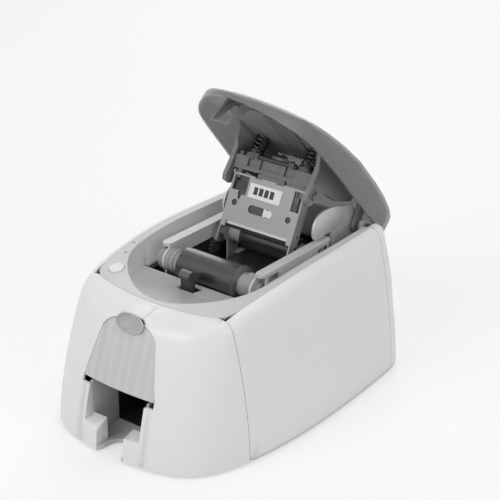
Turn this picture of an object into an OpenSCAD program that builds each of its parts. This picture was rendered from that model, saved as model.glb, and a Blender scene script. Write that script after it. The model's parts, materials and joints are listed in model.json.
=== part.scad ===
// Desktop card printer with a lift-up lid, a card feeder door and an output bay.
// Millimetres. X runs to the right, Y to the rear, Z up. Y is measured from the front
// of the body, and each module is then shifted so that the origin lies under the
// middle of the printer with its lid open.

/* [Body] */
// Greatest width of the body, at the desk
body_w = 205; // [200:1:212]
// Depth of the body at the desk
body_l = 277; // [276:1:280]
// Height of the deck behind its front slope
deck_h = 131; // [130.5:0.5:132]
// How far the deck falls towards its front edge
deck_drop = 17; // [15:0.5:18]
// How far the front face leans back from the desk to the deck
front_lean = 33; // [31:0.5:34]
// How far the rear face leans forward from the desk to the deck
rear_lean = 3; // [2:0.5:4]
// Share of the width that the sides lose between the desk and the deck
side_draft = 0.19; // [0.18:0.01:0.2]
// Radius of the shoulder between the walls and the deck
shoulder_r = 8; // [7:0.5:9]
// Wall of the outer covers
wall = 2.4; // [2.2:0.1:2.8]
// Depth at which the front cover meets the side covers
seam_y = 63; // [61:0.5:65]
// Gap along the seams between the covers
seam_gap = 0.3; // [0.2:0.05:0.4]
// Height of the bottom of the base pan above the desk
foot_h = 1.5; // [1:0.25:2]
// Thickness of the base pan's floor
pan_t = 2.6; // [2.2:0.1:3.2]

/* [Deck] */
// Width of the tub's mouth
tub_w = 137; // [135:0.5:139]
// Depth of the tub's front edge
tub_front_y = 57.5; // [57:0.25:58.5]
// Depth of the tub's rear edge
tub_rear_y = 262.5; // [261.5:0.25:263.5]
// Depth of the seam between the front cover and the deck
deck_front_y = 54; // [53.5:0.25:54.5]
// Depth at which the tub floor ends above the ribbon bay
floor_end_y = 117; // [115:0.5:117.5]
// Height of the tub floor where it ends
floor_end_z = 106; // [105:0.5:107]
// Radius of the control button
button_r = 6.5; // [5.5:0.25:7]
// Travel of the control button
button_travel = 1.2; // [0.8:0.1:1.6]
// Running gap round the button and the other small moving pieces
play = 0.35; // [0.3:0.05:0.45]

/* [Card bays] */
// Width of a card that is fed short side first
card_w = 54; // [53:0.5:55]
// Side play of a card in its bays
card_play = 2; // [1.5:0.25:2.5]
// Height of the top of the output bay's mouth
bay_top_z = 57; // [56:0.5:58]
// Height of the shoulders at the bottom of the output mouth
bay_sill_z = 23; // [21:0.5:25]
// Width of the finger slot under the output mouth
finger_slot_w = 28.5; // [26:0.5:30]
// Depth of the thick frame round the output mouth
bay_frame_y = 15; // [14.9:0.1:15.5]
// Depth at which the bay sleeve ends and the output tray begins
sleeve_end_y = 44; // [42:0.5:46]
// Depth at which the output tray ends
tray_end_y = 112; // [110:1:115]
// Height of the card stack's floor
feeder_floor_z = 69; // [68.5:0.25:69.5]

/* [Feeder door] */
// Width of the door at its bottom edge
door_w = 74; // [73:0.5:75]
// Width of the door near its top
door_top_w = 54; // [53:0.5:56]
// Height of the door's top edge above the desk
door_top_z = 108; // [107:0.5:109]
// Thickness of the door
door_t = 2; // [1.8:0.1:2.2]
// Height of the two raised flutes on the door
flute_h = 1.6; // [1:0.1:2]
// Radius of the door's hinge pins
door_pin_r = 1.5; // [1.3:0.1:1.6]

/* [Lid] */
// Angle at which the lid stands open
open_angle = 47.6; // [45:0.2:48]
// Depth of the lid's hinge axis
hinge_y = 262; // [261.5:0.25:262.5]
// Height of the lid's hinge axis
hinge_z = 125; // [124.5:0.25:125.5]
// Greatest width of the lid
lid_w = 142; // [141:0.5:143]
// Depth of the lid's front edge when it is closed
lid_front_y = 56; // [55.5:0.25:57]
// Depth of the lid's rear edge when it is closed
lid_rear_y = 288; // [287:0.5:289]
// Rise of the lid's crown above its skirt
lid_crown = 28; // [27:0.5:30]
// Height of the lid's skirt at the front and at the sides
lid_skirt_front = 5; // [4.5:0.25:6]
// Height of the lid's skirt along the middle
lid_skirt_mid = 14; // [13:0.5:15]
// Wall of the lid
lid_wall = 2.2; // [2:0.1:2.5]
// Radius of the lid's hinge pins
hinge_pin_r = 2.5; // [2.2:0.1:2.8]

/* [Print head] */
// Width of the head's carrier plate
head_w = 75.4; // [74.5:0.2:76]
// Height of the carrier plate
head_h = 42; // [41:0.5:42.5]
// Thickness of the carrier's sheet metal
sheet_t = 1.2; // [1:0.1:1.4]
// Depth of the carrier's side flanges
flange_d = 10; // [9:0.25:10.5]
// Length of the carrier's legs below the plate
leg_l = 20; // [18:0.5:21]
// Lean of the carrier plate when the lid is closed
head_lean = 21.3; // [20.5:0.2:22]
// Depth of the carrier plate's lower edge when the lid is closed
head_y = 206.7; // [206:0.25:207]
// Height of the carrier plate's lower edge when the lid is closed
head_z = 75.8; // [75.5:0.1:76.2]
// Spring travel of the head
head_travel = 3; // [2:0.25:3.5]
// Outer diameter of the head springs
spring_d = 14; // [12:0.5:15]
// Wire diameter of the head springs
spring_wire = 1.8; // [1.5:0.1:2]

/* [Ribbon] */
// Width of the ribbon film
film_w = 58; // [57:0.5:59]
// Radius of the full supply roll
supply_r = 14.5; // [13:0.25:15]
// Radius of the take-up roll
takeup_r = 12; // [10:0.25:12.5]
// Depth of the supply roll's axis
supply_y = 131.5; // [131:0.25:133]
// Height of the supply roll's axis
supply_z = 112.5; // [112:0.25:113]
// Depth of the take-up roll's axis
takeup_y = 213; // [212:0.25:214]
// Height of the take-up roll's axis
takeup_z = 110; // [109:0.25:110.5]
// Distance between the insides of the cassette's side plates
cassette_w = 90; // [89.5:0.25:91]
// Height of the top of the cassette's rails
rail_z = 127; // [126.5:0.25:127.5]
// Radius of the spools' journals
journal_r = 6; // [5.5:0.25:6.5]
// Running clearance of a shaft in its bore
run_gap = 0.06; // [0.04:0.01:0.08]

/* [Drive] */
// Radius of the platen roller
platen_r = 7.5; // [7.2:0.1:7.7]
// Radius of the steel roller shafts
shaft_r = 2.5; // [2:0.1:3]
// Width of the mechanism frame
frame_w = 124; // [122:0.5:126]
// Teeth of the platen gear
gear_teeth = 48; // [48:48]
// Teeth of the motor pinion
pinion_teeth = 16; // [16:16]
// Tooth module of the drive gears
gear_module = 1; // [1:1]
// Pitch radius of the belt pulleys
pulley_r = 8; // [7:0.5:9]

/* [Hidden] */

eps = 0.01;
cols = 72;                       // columns round a lofted outline
base_z = foot_h;                 // bottom of the covers
lip_z = foot_h + pan_t + 0.4;    // bottom of the side covers, above the pan's lip
mid_y = 155;                     // depth of the widest section of the body
hinge_reach = norm([lid_rear_y - hinge_y, lid_skirt_mid + deck_h - hinge_z]);
hinge_rise = atan2(lid_skirt_mid + deck_h - hinge_z, lid_rear_y - hinge_y);
lid_back_y = hinge_y + hinge_reach*cos(open_angle - hinge_rise);
origin_y = lid_back_y/2;         // depth of the origin
bay_w = card_w + card_play*2;    // inside width of both card bays

module at_origin() translate([0, -origin_y, 0]) children();

// ---------- outlines ----------

// Column angle, packed closer near the corners of an outline; column 0 is the front.
function turn(i) = let(a = -90 + 360*i/cols) a + 8*sin(4*a);
// Distance along a ray with parts u and v to a bowed side that stands `near` away.
function bowed(near, u, v, bow) = 2*near/(u + sqrt(u*u + 4*near*near*v*v/(bow*bow)));
// The lesser of two distances, with the corner between them rounded.
function blend(a, b, m) = pow(pow(a, -m) + pow(b, -m), -1/m);
// Outline point in column i: half width, reaches and bows of the sides and ends.
function outline(i, cy, half, fore, aft, bows, corners) =
    let(u = abs(cos(turn(i))), v = abs(sin(turn(i))), front = sin(turn(i)) < 0)
    let(side = bowed(half, u, v, front ? bows[0] : bows[1]))
    let(end = front ? bowed(fore, v, u, bows[2]) : bowed(aft, v, u, bows[3]))
    let(r = blend(side, end, front ? corners[0] : corners[1]))
    [r*cos(turn(i)), cy + r*sin(turn(i))];

// Height of the deck at a depth.
function deck_z(y) = deck_h - deck_drop*pow(max(0, 1 - (y - 40)/140), 2);
// Section of the body at the height share t, drawn in by `inset`.
function section(i, t, inset) = outline(i, mid_y,
    body_w/2*(1 - side_draft*pow(t, 1.8)) - inset,
    mid_y - front_lean*pow(t, 1.6) - inset,
    body_l - mid_y - rear_lean*t - inset,
    [320, 470, 288, 600], [9, 24]);
// Depth of the front face at a width and height.
function front_y(x, z, n = 4) = n == 0 ? 20 : let(
    t = (z - base_z)/(deck_z(front_y(x, z, n - 1)) - base_z),
    reach = mid_y - front_lean*pow(max(0, t), 1.6))
    mid_y - reach*(1 - x*x/(288*288));
// Outer edge of the deck.
function deck_edge(i, inset) = outline(i, mid_y,
    body_w/2*(1 - side_draft) - shoulder_r - inset, mid_y - deck_front_y - inset,
    body_l - mid_y - rear_lean - shoulder_r - inset, [320, 470, 225, 600], [20, 24]);
// Mouth of the tub in the deck.
function tub_edge(i, inset) = outline(i, mid_y, tub_w/2 - inset, mid_y - tub_front_y - inset,
    tub_rear_y - mid_y - inset, [600, 600, 100, 600], [12, 16]);
// Height of the tub's floor.
function tub_floor_z(y) = y > floor_end_y ? floor_end_z
    : floor_end_z + (deck_z(tub_front_y) - 3 - floor_end_z)
        *(floor_end_y - y)/(floor_end_y - tub_front_y - 4);
// Plan outline of the closed lid.
lid_mid_y = 175;
function lid_edge(i, share, inset) = let(p = outline(i, lid_mid_y, lid_w/2 - inset,
    lid_mid_y - lid_front_y - inset, lid_rear_y - lid_mid_y - inset,
    [300, 430, 118, 500], [11, 14]))
    [p[0]*share, lid_mid_y + (p[1] - lid_mid_y)*share];

function lifted(p, z) = [p[0], p[1], z];

// ---------- lofted skins ----------

// A closed solid between two grids of points. Rows run upwards, columns to the right as
// seen from outside. A looped grid closes on itself; top says how the last row ends.
module skin(outer, inner, loop = false, top = "edge", poles = []) {
    n = len(outer);
    m = len(outer[0]);
    last = loop ? m - 1 : m - 2;
    function a(k, i) = k*m + i % m;
    function b(k, i) = n*m + k*m + i % m;
    function quad(p, q, r, s) = [[p, q, r], [p, r, s]];
    points = concat([for (r = outer) each r], [for (r = inner) each r], poles);
    walls = [for (k = [0:n - 2], i = [0:last]) each concat(
        quad(a(k, i), a(k + 1, i), a(k + 1, i + 1), a(k, i + 1)),
        quad(b(k, i), b(k, i + 1), b(k + 1, i + 1), b(k + 1, i)))];
    foot = [for (i = [0:last]) each quad(a(0, i), a(0, i + 1), b(0, i + 1), b(0, i))];
    head = top != "edge" ? [] : [for (i = [0:last])
        each quad(a(n - 1, i + 1), a(n - 1, i), b(n - 1, i), b(n - 1, i + 1))];
    sides = loop ? [] : [for (k = [0:n - 2]) each concat(
        quad(a(k + 1, 0), a(k, 0), b(k, 0), b(k + 1, 0)),
        quad(a(k, m - 1), a(k + 1, m - 1), b(k + 1, m - 1), b(k, m - 1)))];
    fans = top != "pole" ? [] : [for (i = [0:last]) each
        [[a(n - 1, i), 2*n*m, a(n - 1, i + 1)], [b(n - 1, i), b(n - 1, i + 1), 2*n*m + 1]]];
    half = m/2;
    strips = top != "strips" ? [] : [for (i = [0:half - 1]) let(p = n - 1)
        each i == 0 ? [[a(p, 0), a(p, m - 1), a(p, 1)], [b(p, 0), b(p, 1), b(p, m - 1)]]
        : i == half - 1 ? [[a(p, i), a(p, i + 2), a(p, i + 1)],
            [b(p, i), b(p, i + 1), b(p, i + 2)]]
        : concat(quad(a(p, i), a(p, m - i), a(p, m - i - 1), a(p, i + 1)),
            quad(b(p, i), b(p, i + 1), b(p, m - i - 1), b(p, m - i)))];
    polyhedron(points, concat(walls, foot, head, sides, fans, strips), convexity = 8);
}

// Rows of the body's covers for the columns i0 to i1, drawn in by `inset`.
function cover_rows(i0, i1, z0, inset) = let(
    tall = deck_h - base_z,
    t0 = (z0 - base_z)/tall,
    ts = 1 - shoulder_r/tall)
    concat(
        [for (k = [0:6]) let(t = t0 + (ts - t0)*k/6) [for (i = [i0:i1])
            let(p = section(i, t, inset)) lifted(p, base_z + t*(deck_z(p[1]) - base_z))]],
        [for (b = [30, 60]) let(t = 1 - shoulder_r/tall*(1 - sin(b))) [for (i = [i0:i1])
            let(p = section(i, t, inset + shoulder_r*(1 - cos(b))))
            lifted(p, base_z + t*(deck_z(p[1]) - base_z) - inset*sin(b))]],
        [[for (i = [i0:i1]) let(p = deck_edge(i, -seam_gap)) lifted(p, deck_z(p[1]) - inset)]]);
module cover_skin(i0, i1, z0)
    skin(cover_rows(i0, i1, z0, 0), cover_rows(i0, i1, z0, wall));

module box(lo, hi) translate(lo) cube(hi - lo);
module rod(x0, x1, y, z, r) translate([x0, y, z]) rotate([0, 90, 0]) cylinder(h = x1 - x0, r = r, $fn = 48);
module both_sides() { children(); mirror([1, 0, 0]) children(); }
// Extrudes an outline drawn in the Y-Z plane from x0 to x1.
module across(x0, x1) translate([x0, 0, 0]) rotate([90, 0, 90]) linear_extrude(x1 - x0) children();
// Extrudes an outline drawn in the X-Z plane from y0 to y1.
module along(y0, y1) translate([0, y1, 0]) rotate([90, 0, 0]) linear_extrude(y1 - y0) children();

// ---------- base ----------

foot_pos = [[-72, 48], [72, 48], [-74, 240], [74, 240]];
foot_r = 7;
module finger_notch(h0, h1) {
    r = 10.5;
    translate([0, 12, h0]) cylinder(h = h1 - h0, r = r, $fn = 48);
    translate([0, 0, h0]) linear_extrude(h1 - h0)
        polygon([[-finger_slot_w/2, -2], [-r - 0.6, 6], [-r, 12], [r, 12], [r + 0.6, 6],
            [finger_slot_w/2, -2]]);
}
module base_pan() at_origin() color([0.78, 0.79, 0.8]) {
    difference() {
        union() {
            translate([0, 0, foot_h]) linear_extrude(pan_t)
                polygon([for (i = [0:cols - 1]) let(p = section(i, 0, 0.5),
                    q = section(i, 0, wall + 0.4)) p[1] > seam_y ? p : q]);
            // upstand that locates the covers
            translate([0, 0, foot_h + pan_t - eps]) linear_extrude(4) difference() {
                polygon([for (i = [0:cols - 1]) section(i, 0, wall + 1.1)]);
                polygon([for (i = [0:cols - 1]) section(i, 0, wall + 2.9)]);
                translate([-mouth_w/2 - 1, -5]) square([mouth_w + 2, 32]);
            }
            // tongue that closes the bottom of the finger slot
            box([-finger_slot_w/2 + 0.4, 0.4, foot_h], [finger_slot_w/2 - 0.4, 8, foot_h + pan_t + 0.9]);
            // raised floor of the output bay
            box([-bay_w/2 - 2, bay_frame_y + 0.3, foot_h + 0.5],
                [bay_w/2 + 2, sleeve_end_y, foot_h + pan_t + 0.9]);
            box([-finger_slot_w/2 + 0.4, 6, foot_h + 0.5], [finger_slot_w/2 - 0.4, bay_frame_y + 1, foot_h + pan_t + 0.9]);
            for (p = foot_pos) translate([p[0], p[1], foot_h]) cylinder(h = 4, r = foot_r + 2, $fn = 48);
            // bosses that carry the main board
            for (x = screw_x, y = screw_y) translate([x, y, foot_h]) cylinder(h = board_z - foot_h, r = 3.5, $fn = 32);
        }
        finger_notch(-1, 20);
        for (p = foot_pos) translate([p[0], p[1], -1]) cylinder(h = foot_h + 2, r = foot_r + 0.1, $fn = 48);
        // cooling slots under the board
        for (k = [0:6]) box([-12 + k*8, 180, -1], [-9 + k*8, 225, 8]);
    }
}
module rubber_feet() at_origin() color([0.15, 0.15, 0.16])
    for (p = foot_pos) translate([p[0], p[1], 0]) difference() {
        cylinder(h = foot_h + 1, r = foot_r, $fn = 48);
        translate([0, 0, -eps]) cylinder(h = 0.6, r = foot_r - 2.5, $fn = 48);
    }

// ---------- covers ----------

// Outline of the feeder door in the X-Z plane, grown by g.
module door_outline(g) {
    r = 8;
    bottom = bay_top_z - g;
    polygon(concat(
        [[-door_w/2 - g, bottom], [door_w/2 + g, bottom]],
        [for (a = [0:15:75]) [door_top_w/2 - r + (r + g)*cos(a) - 6*sin(a),
            door_top_z - r + (r + g)*sin(a)]],
        [for (a = [105:15:180]) [-door_top_w/2 + r + (r + g)*cos(a) + 6*sin(a),
            door_top_z - r + (r + g)*sin(a)]]));
}
scoop_z = door_top_z;            // height of the middle of the finger scoop
scoop_d = 5;                     // depth of the finger scoop
module scoop_outline(g) translate([0, scoop_z]) polygon([for (a = [0:10:350])
    [(12.5 + g)*cos(a), (6.3 + g)*sin(a)]]);
module scoop() intersection() {
    along(-5, 60) scoop_outline(0);
    across(-20, 20) polygon([[-5, scoop_z - 10], [front_y(0, scoop_z - 10) + scoop_d, scoop_z - 10],
        [front_y(0, scoop_z + 8) + scoop_d, scoop_z + 8], [-5, scoop_z + 8]]);
}
mouth_w = bay_w + 9;             // width of the thick frame round the output mouth
mouth_z = foot_h + pan_t + 0.3;  // height of the bottom of that frame
module front_cover() at_origin() color([0.93, 0.94, 0.94]) {
    difference() {
        union() {
            intersection() {
                cover_skin(-12, 12, base_z);
                box([-120, -5, 0], [120, seam_y - seam_gap/2, 150]);
            }
            // thick frame round the output mouth
            across(-mouth_w/2, mouth_w/2) polygon(concat(
                [for (z = [mouth_z:5:bay_top_z - 1]) [front_y(0, z) + wall - 0.25, z]],
                [[front_y(0, bay_top_z) + wall - 0.3, bay_top_z - 0.2],
                    [bay_frame_y, bay_top_z - 0.2], [bay_frame_y, mouth_z]]));
            // backing of the finger scoop
            intersection() {
                across(-16, 16) polygon(concat(
                    [for (z = [100, 104, 108, 112, 115]) [front_y(0, z) + wall - 0.4, z]],
                    [for (z = [115, 112, 108, 104, 100]) [front_y(0, z) + scoop_d + 2, z]]));
                along(0, 60) scoop_outline(2);
            }
        }
        // output mouth with its sloping sill
        across(-bay_w/2, bay_w/2) polygon([[-5, bay_sill_z - 3.2], [bay_frame_y + 5, bay_sill_z + 3.2],
            [bay_frame_y + 5, bay_top_z + 1], [-5, bay_top_z + 1]]);
        box([-finger_slot_w/2, -5, -1], [finger_slot_w/2, bay_frame_y + 5, bay_sill_z + 5]);
        along(-5, 60) door_outline(0.4);
        // relief under the door's lower corners
        both_sides() across(bay_w/2 - eps, door_w/2 + 0.4) polygon([[0, bay_top_z - 7.5],
            [front_y(33, bay_top_z) + 3, bay_top_z - 5.5], [front_y(33, bay_top_z) + 9, bay_top_z - 1],
            [front_y(33, bay_top_z) + 9, bay_top_z + 2], [0, bay_top_z + 2]]);
        scoop();
    }
}
module side_cover() intersection() {
    cover_skin(7, 32, lip_z);
    box([0, seam_y + seam_gap/2, 0], [130, rear_seam_y - seam_gap/2, 150]);
}
rear_seam_y = 256;               // depth of the seam between the side and rear covers
module left_side_cover() at_origin() color([0.9, 0.91, 0.91]) mirror([1, 0, 0]) side_cover();
module right_side_cover() at_origin() color([0.9, 0.91, 0.91]) side_cover();

// Space in which the lid's side walls swing down behind the hinge.
module lid_swing() both_sides() box([62, tub_rear_y - 10, hinge_z - 16], [69.5, 300, 150]);
// Pockets for the lid's hinges.
module hinge_pocket() both_sides() box([ear_x - 5.5, hinge_y - 12, hinge_z - 12], [ear_x + 6.5, hinge_y + 8.5, 150]);
vent_z = [30, 36, 42, 48, 54, 60];
module rear_cover() at_origin() color([0.88, 0.89, 0.89]) difference() {
    intersection() {
        cover_skin(27, 45, lip_z);
        box([-120, rear_seam_y + seam_gap/2, 0], [120, 300, 150]);
    }
    lid_swing();
    hinge_pocket();
    for (z = vent_z) box([-62, 250, z], [-22, 300, z + 2.6]);
    box([usb_x - 6.5, 250, usb_z - 6], [usb_x + 6.5, 300, usb_z + 6]);
    translate([power_x, 250, power_z]) rotate([-90, 0, 0]) cylinder(h = 50, r = 5.2, $fn = 48);
}

// ---------- deck ----------

button_pos = [-56, 76];
deck_slope = atan2(deck_z(70) - deck_z(63), 7);
lights_pos = [[-66, 97.5], [-70.8, 113]];
latch_x = -3;
latch_y = 104;
latch_z = 102.6;
module on_deck(p) translate([p[0], p[1], deck_z(p[1])]) rotate([atan2(deck_z(p[1] + 3) - deck_z(p[1] - 3), 6), 0, 0]) children();
module top_deck() at_origin() color([0.8, 0.81, 0.81]) {
    t = 2.2;
    upper = [
        [for (i = [0:cols - 1]) let(p = deck_edge(i, 0)) lifted(p, deck_z(p[1]))],
        [for (i = [0:cols - 1]) let(p = tub_edge(i, 0)) lifted(p, deck_z(p[1]))],
        [for (i = [0:cols - 1]) let(p = tub_edge(i, 0.9)) lifted(p, deck_z(p[1]) - 0.9)],
        [for (i = [0:cols - 1]) let(p = tub_edge(i, 4.5)) lifted(p, tub_floor_z(p[1]))]];
    lower = [
        [for (i = [0:cols - 1]) let(p = deck_edge(i, 0)) lifted(p, deck_z(p[1]) - t)],
        [for (i = [0:cols - 1]) let(p = tub_edge(i, -t + 1)) lifted(p, deck_z(p[1]) - t)],
        [for (i = [0:cols - 1]) let(p = tub_edge(i, 0.9 - t)) lifted(p, deck_z(p[1]) - t - 0.9)],
        [for (i = [0:cols - 1]) let(p = tub_edge(i, 4.5 - t)) lifted(p, tub_floor_z(p[1]) - t)]];
    difference() {
        union() {
            skin(upper, lower, loop = true, top = "strips");
            // lugs that carry the latch
            for (x = [latch_x - 12, latch_x + 9.4]) box([x, latch_y - 3.6, latch_z - 2.6], [x + 2.6, latch_y + 3.6, latch_z + 4]);
            // guide of the control button
            on_deck(button_pos) translate([0, 0, -7.5]) cylinder(h = 7, r = button_r + 2.4, $fn = 48);
        }
        box([-tub_w/2 + 5.5, floor_end_y, 60], [tub_w/2 - 5.5, tub_rear_y - 5.5, 118]);
        lid_swing();
        hinge_pocket();
        rod(latch_x - 13, latch_x + 13, latch_y, latch_z, 2 + run_gap);
        on_deck(button_pos) translate([0, 0, -20]) cylinder(h = 30, r = button_r + play, $fn = 48);
        for (p = lights_pos) on_deck(p) translate([0, 0, -6]) cylinder(h = 12, r = 1.6, $fn = 32);
        box([latch_x - 9, latch_y - 6, 60], [latch_x + 9, latch_y + 7, 125]);
    }
}
module control_button() at_origin() color([0.95, 0.95, 0.95]) on_deck(button_pos) {
    translate([0, 0, -2]) cylinder(h = 2.6, r = button_r, $fn = 64);
    translate([0, 0, 0.6 - eps]) cylinder(h = 0.6, r1 = button_r, r2 = button_r - 0.7, $fn = 64);
    translate([0, 0, -9]) cylinder(h = 7.5, r = button_r - 2, $fn = 48);
}
module indicator_lights() at_origin() color([0.7, 0.75, 0.72]) for (p = lights_pos)
    on_deck(p) translate([0, 0, -4]) cylinder(h = 4.1, r = 1.45, $fn = 32);

// ---------- latch ----------

module latch_hook() at_origin() color([0.2, 0.2, 0.21]) {
    difference() {
        union() {
            across(latch_x - 6.5, latch_x + 4) polygon([[latch_y - 2, latch_z - 2],
                [latch_y + 3, latch_z - 2], [latch_y + 3.6, 112], [latch_y + 3.6, 121.5], [latch_y + 1, 124],
                [latch_y - 2.6, 124], [latch_y - 5.2, 120.5], [latch_y - 5.2, 118.6], [latch_y - 2.6, 118.6]]);
            rod(latch_x - 11.8, latch_x + 11.8, latch_y, latch_z, 2);
        }
        // grooves that lighten the hook
        for (x = [-4, 1]) box([latch_x + x - 0.5, latch_y + 2.4, 105], [latch_x + x + 0.5, latch_y + 6, 119]);
    }
}
// A round wire wound into a spring along Z, with its ends turned flat.
module coil(d, wire, h, turns) {
    sides = 8;
    steps = 12;
    n = turns*steps;
    r = (d - wire)/2;
    rows = [for (k = [0:n]) let(a = 360*k/steps, share = k/n,
        z = wire/2 + (h - wire)*(share < 0.12 ? share*share/0.24
            : share > 0.88 ? 1 - (1 - share)*(1 - share)/0.24 - 0 : (share - 0.06)/0.88))
        [for (j = [0:sides - 1]) let(b = 360*j/sides)
            [(r + wire/2*cos(b))*cos(a), (r + wire/2*cos(b))*sin(a), z + wire/2*sin(b)]]];
    points = concat([for (r = rows) each r]);
    polyhedron(points, concat(
        [for (k = [0:n - 1], j = [0:sides - 1]) let(p = k*sides + j, q = k*sides + (j + 1) % sides)
            each [[p, q, q + sides], [p, q + sides, p + sides]]],
        [[for (j = [sides - 1:-1:0]) j], [for (j = [0:sides - 1]) n*sides + j]]), convexity = 8);
}
module latch_spring() at_origin() color([0.6, 0.6, 0.62])
    translate([latch_x + 4.2, latch_y, latch_z]) rotate([0, 90, 0]) coil(6, 0.8, 5, 4);

// ---------- card bays ----------

swing_y = 25;                    // depth behind which the open door's foot never reaches
feeder_z0 = feeder_floor_z - 5.7;
module bay_sleeve() at_origin() color([0.75, 0.76, 0.76]) difference() {
    across(-bay_w/2 - 2, bay_w/2 + 2) polygon([[bay_frame_y + 0.3, foot_h + pan_t + 1.2],
        [sleeve_end_y, foot_h + pan_t + 1.2], [sleeve_end_y, feeder_z0 - 0.3], [swing_y, feeder_z0 - 0.3],
        [swing_y, 53], [bay_frame_y + 0.3, 53]]);
    box([-bay_w/2, bay_frame_y - 1, 0], [bay_w/2, sleeve_end_y + 1, bay_top_z + 1]);
}
module output_tray() at_origin() color([0.12, 0.12, 0.13]) difference() {
    box([-bay_w/2 - 2, sleeve_end_y + 0.3, foot_h + pan_t], [bay_w/2 + 2, tray_end_y, bay_top_z + 0.2]);
    box([-bay_w/2, sleeve_end_y - 1, foot_h + pan_t + 2], [bay_w/2, tray_end_y - 2, bay_top_z + 1]);
    // notch through which printed cards drop in
    box([-bay_w/2, tray_end_y - 3, 40], [bay_w/2, tray_end_y + 1, bay_top_z + 1]);
}
feeder_rear_y = 115.8;
module card_feeder() at_origin() color([0.72, 0.73, 0.73]) difference() {
    across(-bay_w/2 - 2, bay_w/2 + 2) polygon([[swing_y, feeder_z0], [feeder_rear_y, feeder_z0],
        [feeder_rear_y, 100], [42, 100], [28, 76], [swing_y + 1, 70]]);
    box([-bay_w/2, -5, feeder_floor_z], [bay_w/2, feeder_rear_y - 2, 101]);
    // window for the pick roller and slot for the leaving card
    box([-15, pick_y - 11, 50], [15, pick_y + 11, 80]);
    box([-bay_w/2, feeder_rear_y - 3, feeder_floor_z], [bay_w/2, feeder_rear_y + 1, feeder_floor_z + 3]);
}

// ---------- feeder door ----------

door_pin_z = bay_top_z + 4;
door_pin_y = front_y(door_w/2 - 4, door_pin_z) + door_t + 3;
// Height of the door's two soft flutes, which widen downwards.
function flute(u, v) = flute_h*sin(180*min(1, max(0, v*1.15)))
    *(exp(-pow((u + 0.28)/0.13, 2)) + exp(-pow((u - 0.34)/0.13, 2)));
// Grid of points on the door, `depth` behind the front face.
function door_grid(depth, nu = 24, nv = 10) = [for (k = [0:nv]) [for (j = [0:nu]) let(
    u = -1 + 2*j/nu, v = k/nv, z = bay_top_z + (door_top_z - bay_top_z)*v,
    x = u*(door_w/2 + (door_top_w - door_w)/2*v*0.86))
    [x, front_y(x, z) + depth - (depth == 0 ? flute(u, v) - flute_h*0.3 : 0), z]]];
module feeder_door() at_origin() color([0.84, 0.85, 0.86]) {
    difference() {
        union() {
            intersection() {
                skin(door_grid(0), door_grid(door_t));
                along(-10, 60) door_outline(0);
            }
            // ears behind the lower corners that carry the pivots
            both_sides() across(door_w/2 - 3.6, door_w/2 - 2) polygon([
                [front_y(door_w/2 - 4, bay_top_z + 1) + door_t - 0.4, bay_top_z + 1],
                [door_pin_y + 2.6, bay_top_z + 2], [door_pin_y + 2.6, door_pin_z + 2.4],
                [front_y(door_w/2 - 4, door_pin_z + 3) + door_t - 0.4, door_pin_z + 3]]);
        }
        along(-5, 60) scoop_outline(0);
        both_sides() rod(door_w/2 - 8, door_w/2 + 1, door_pin_y, door_pin_z, door_pin_r + run_gap);
    }
}
module door_pivots() at_origin() color([0.5, 0.5, 0.52]) both_sides() {
    rod(bay_w/2 + 3, door_w/2 - 2.2, door_pin_y, door_pin_z, door_pin_r);
    across(bay_w/2 + 2.2, bay_w/2 + 4.1) polygon([[door_pin_y - 1.9, door_pin_z - 1.9],
        [sleeve_end_y - 4, door_pin_z - 1.9], [sleeve_end_y - 4, door_pin_z + 2],
        [door_pin_y + 0.5, door_pin_z + 2], [door_pin_y - 1.9, door_pin_z + 0.3]]);
}

// ---------- lid ----------

module lid_open() translate([0, hinge_y, hinge_z]) rotate([-open_angle, 0, 0])
    translate([0, -hinge_y, -hinge_z]) children();
rim_gap = 0.4;
function rim_z(y) = deck_z(min(y, 262)) + rim_gap;
function skirt_h(y) = let(s = max(0, min(1, (y - lid_front_y)/100)))
    lid_skirt_front + (lid_skirt_mid - lid_skirt_front)*s*s*(3 - 2*s);
function crown_z(y, share) = rim_z(y) + skirt_h(y) + lid_crown*(1 - share*share);
lid_shares = [0.97, 0.9, 0.8, 0.67, 0.52, 0.36, 0.18];
function lid_rows(inset) = concat(
    [[for (i = [0:cols - 1]) let(p = lid_edge(i, 1, inset)) lifted(p, rim_z(p[1]))],
    [for (i = [0:cols - 1]) let(p = lid_edge(i, 1, inset)) lifted(p, rim_z(p[1]) + skirt_h(p[1])*0.55)],
    [for (i = [0:cols - 1]) let(p = lid_edge(i, 0.992, inset)) lifted(p, crown_z(p[1], 1) - 0.4 - inset*0.7)]],
    [for (s = lid_shares) [for (i = [0:cols - 1]) let(p = lid_edge(i, s, inset))
        lifted(p, crown_z(p[1], s) - inset)]]);
module lid_shell() at_origin() color([0.38, 0.39, 0.4, 0.75]) lid_open()
    skin(lid_rows(0), lid_rows(lid_wall), loop = true, top = "pole",
        poles = [[0, lid_mid_y, crown_z(lid_mid_y, 0)], [0, lid_mid_y, crown_z(lid_mid_y, 0) - lid_wall]]);

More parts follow.
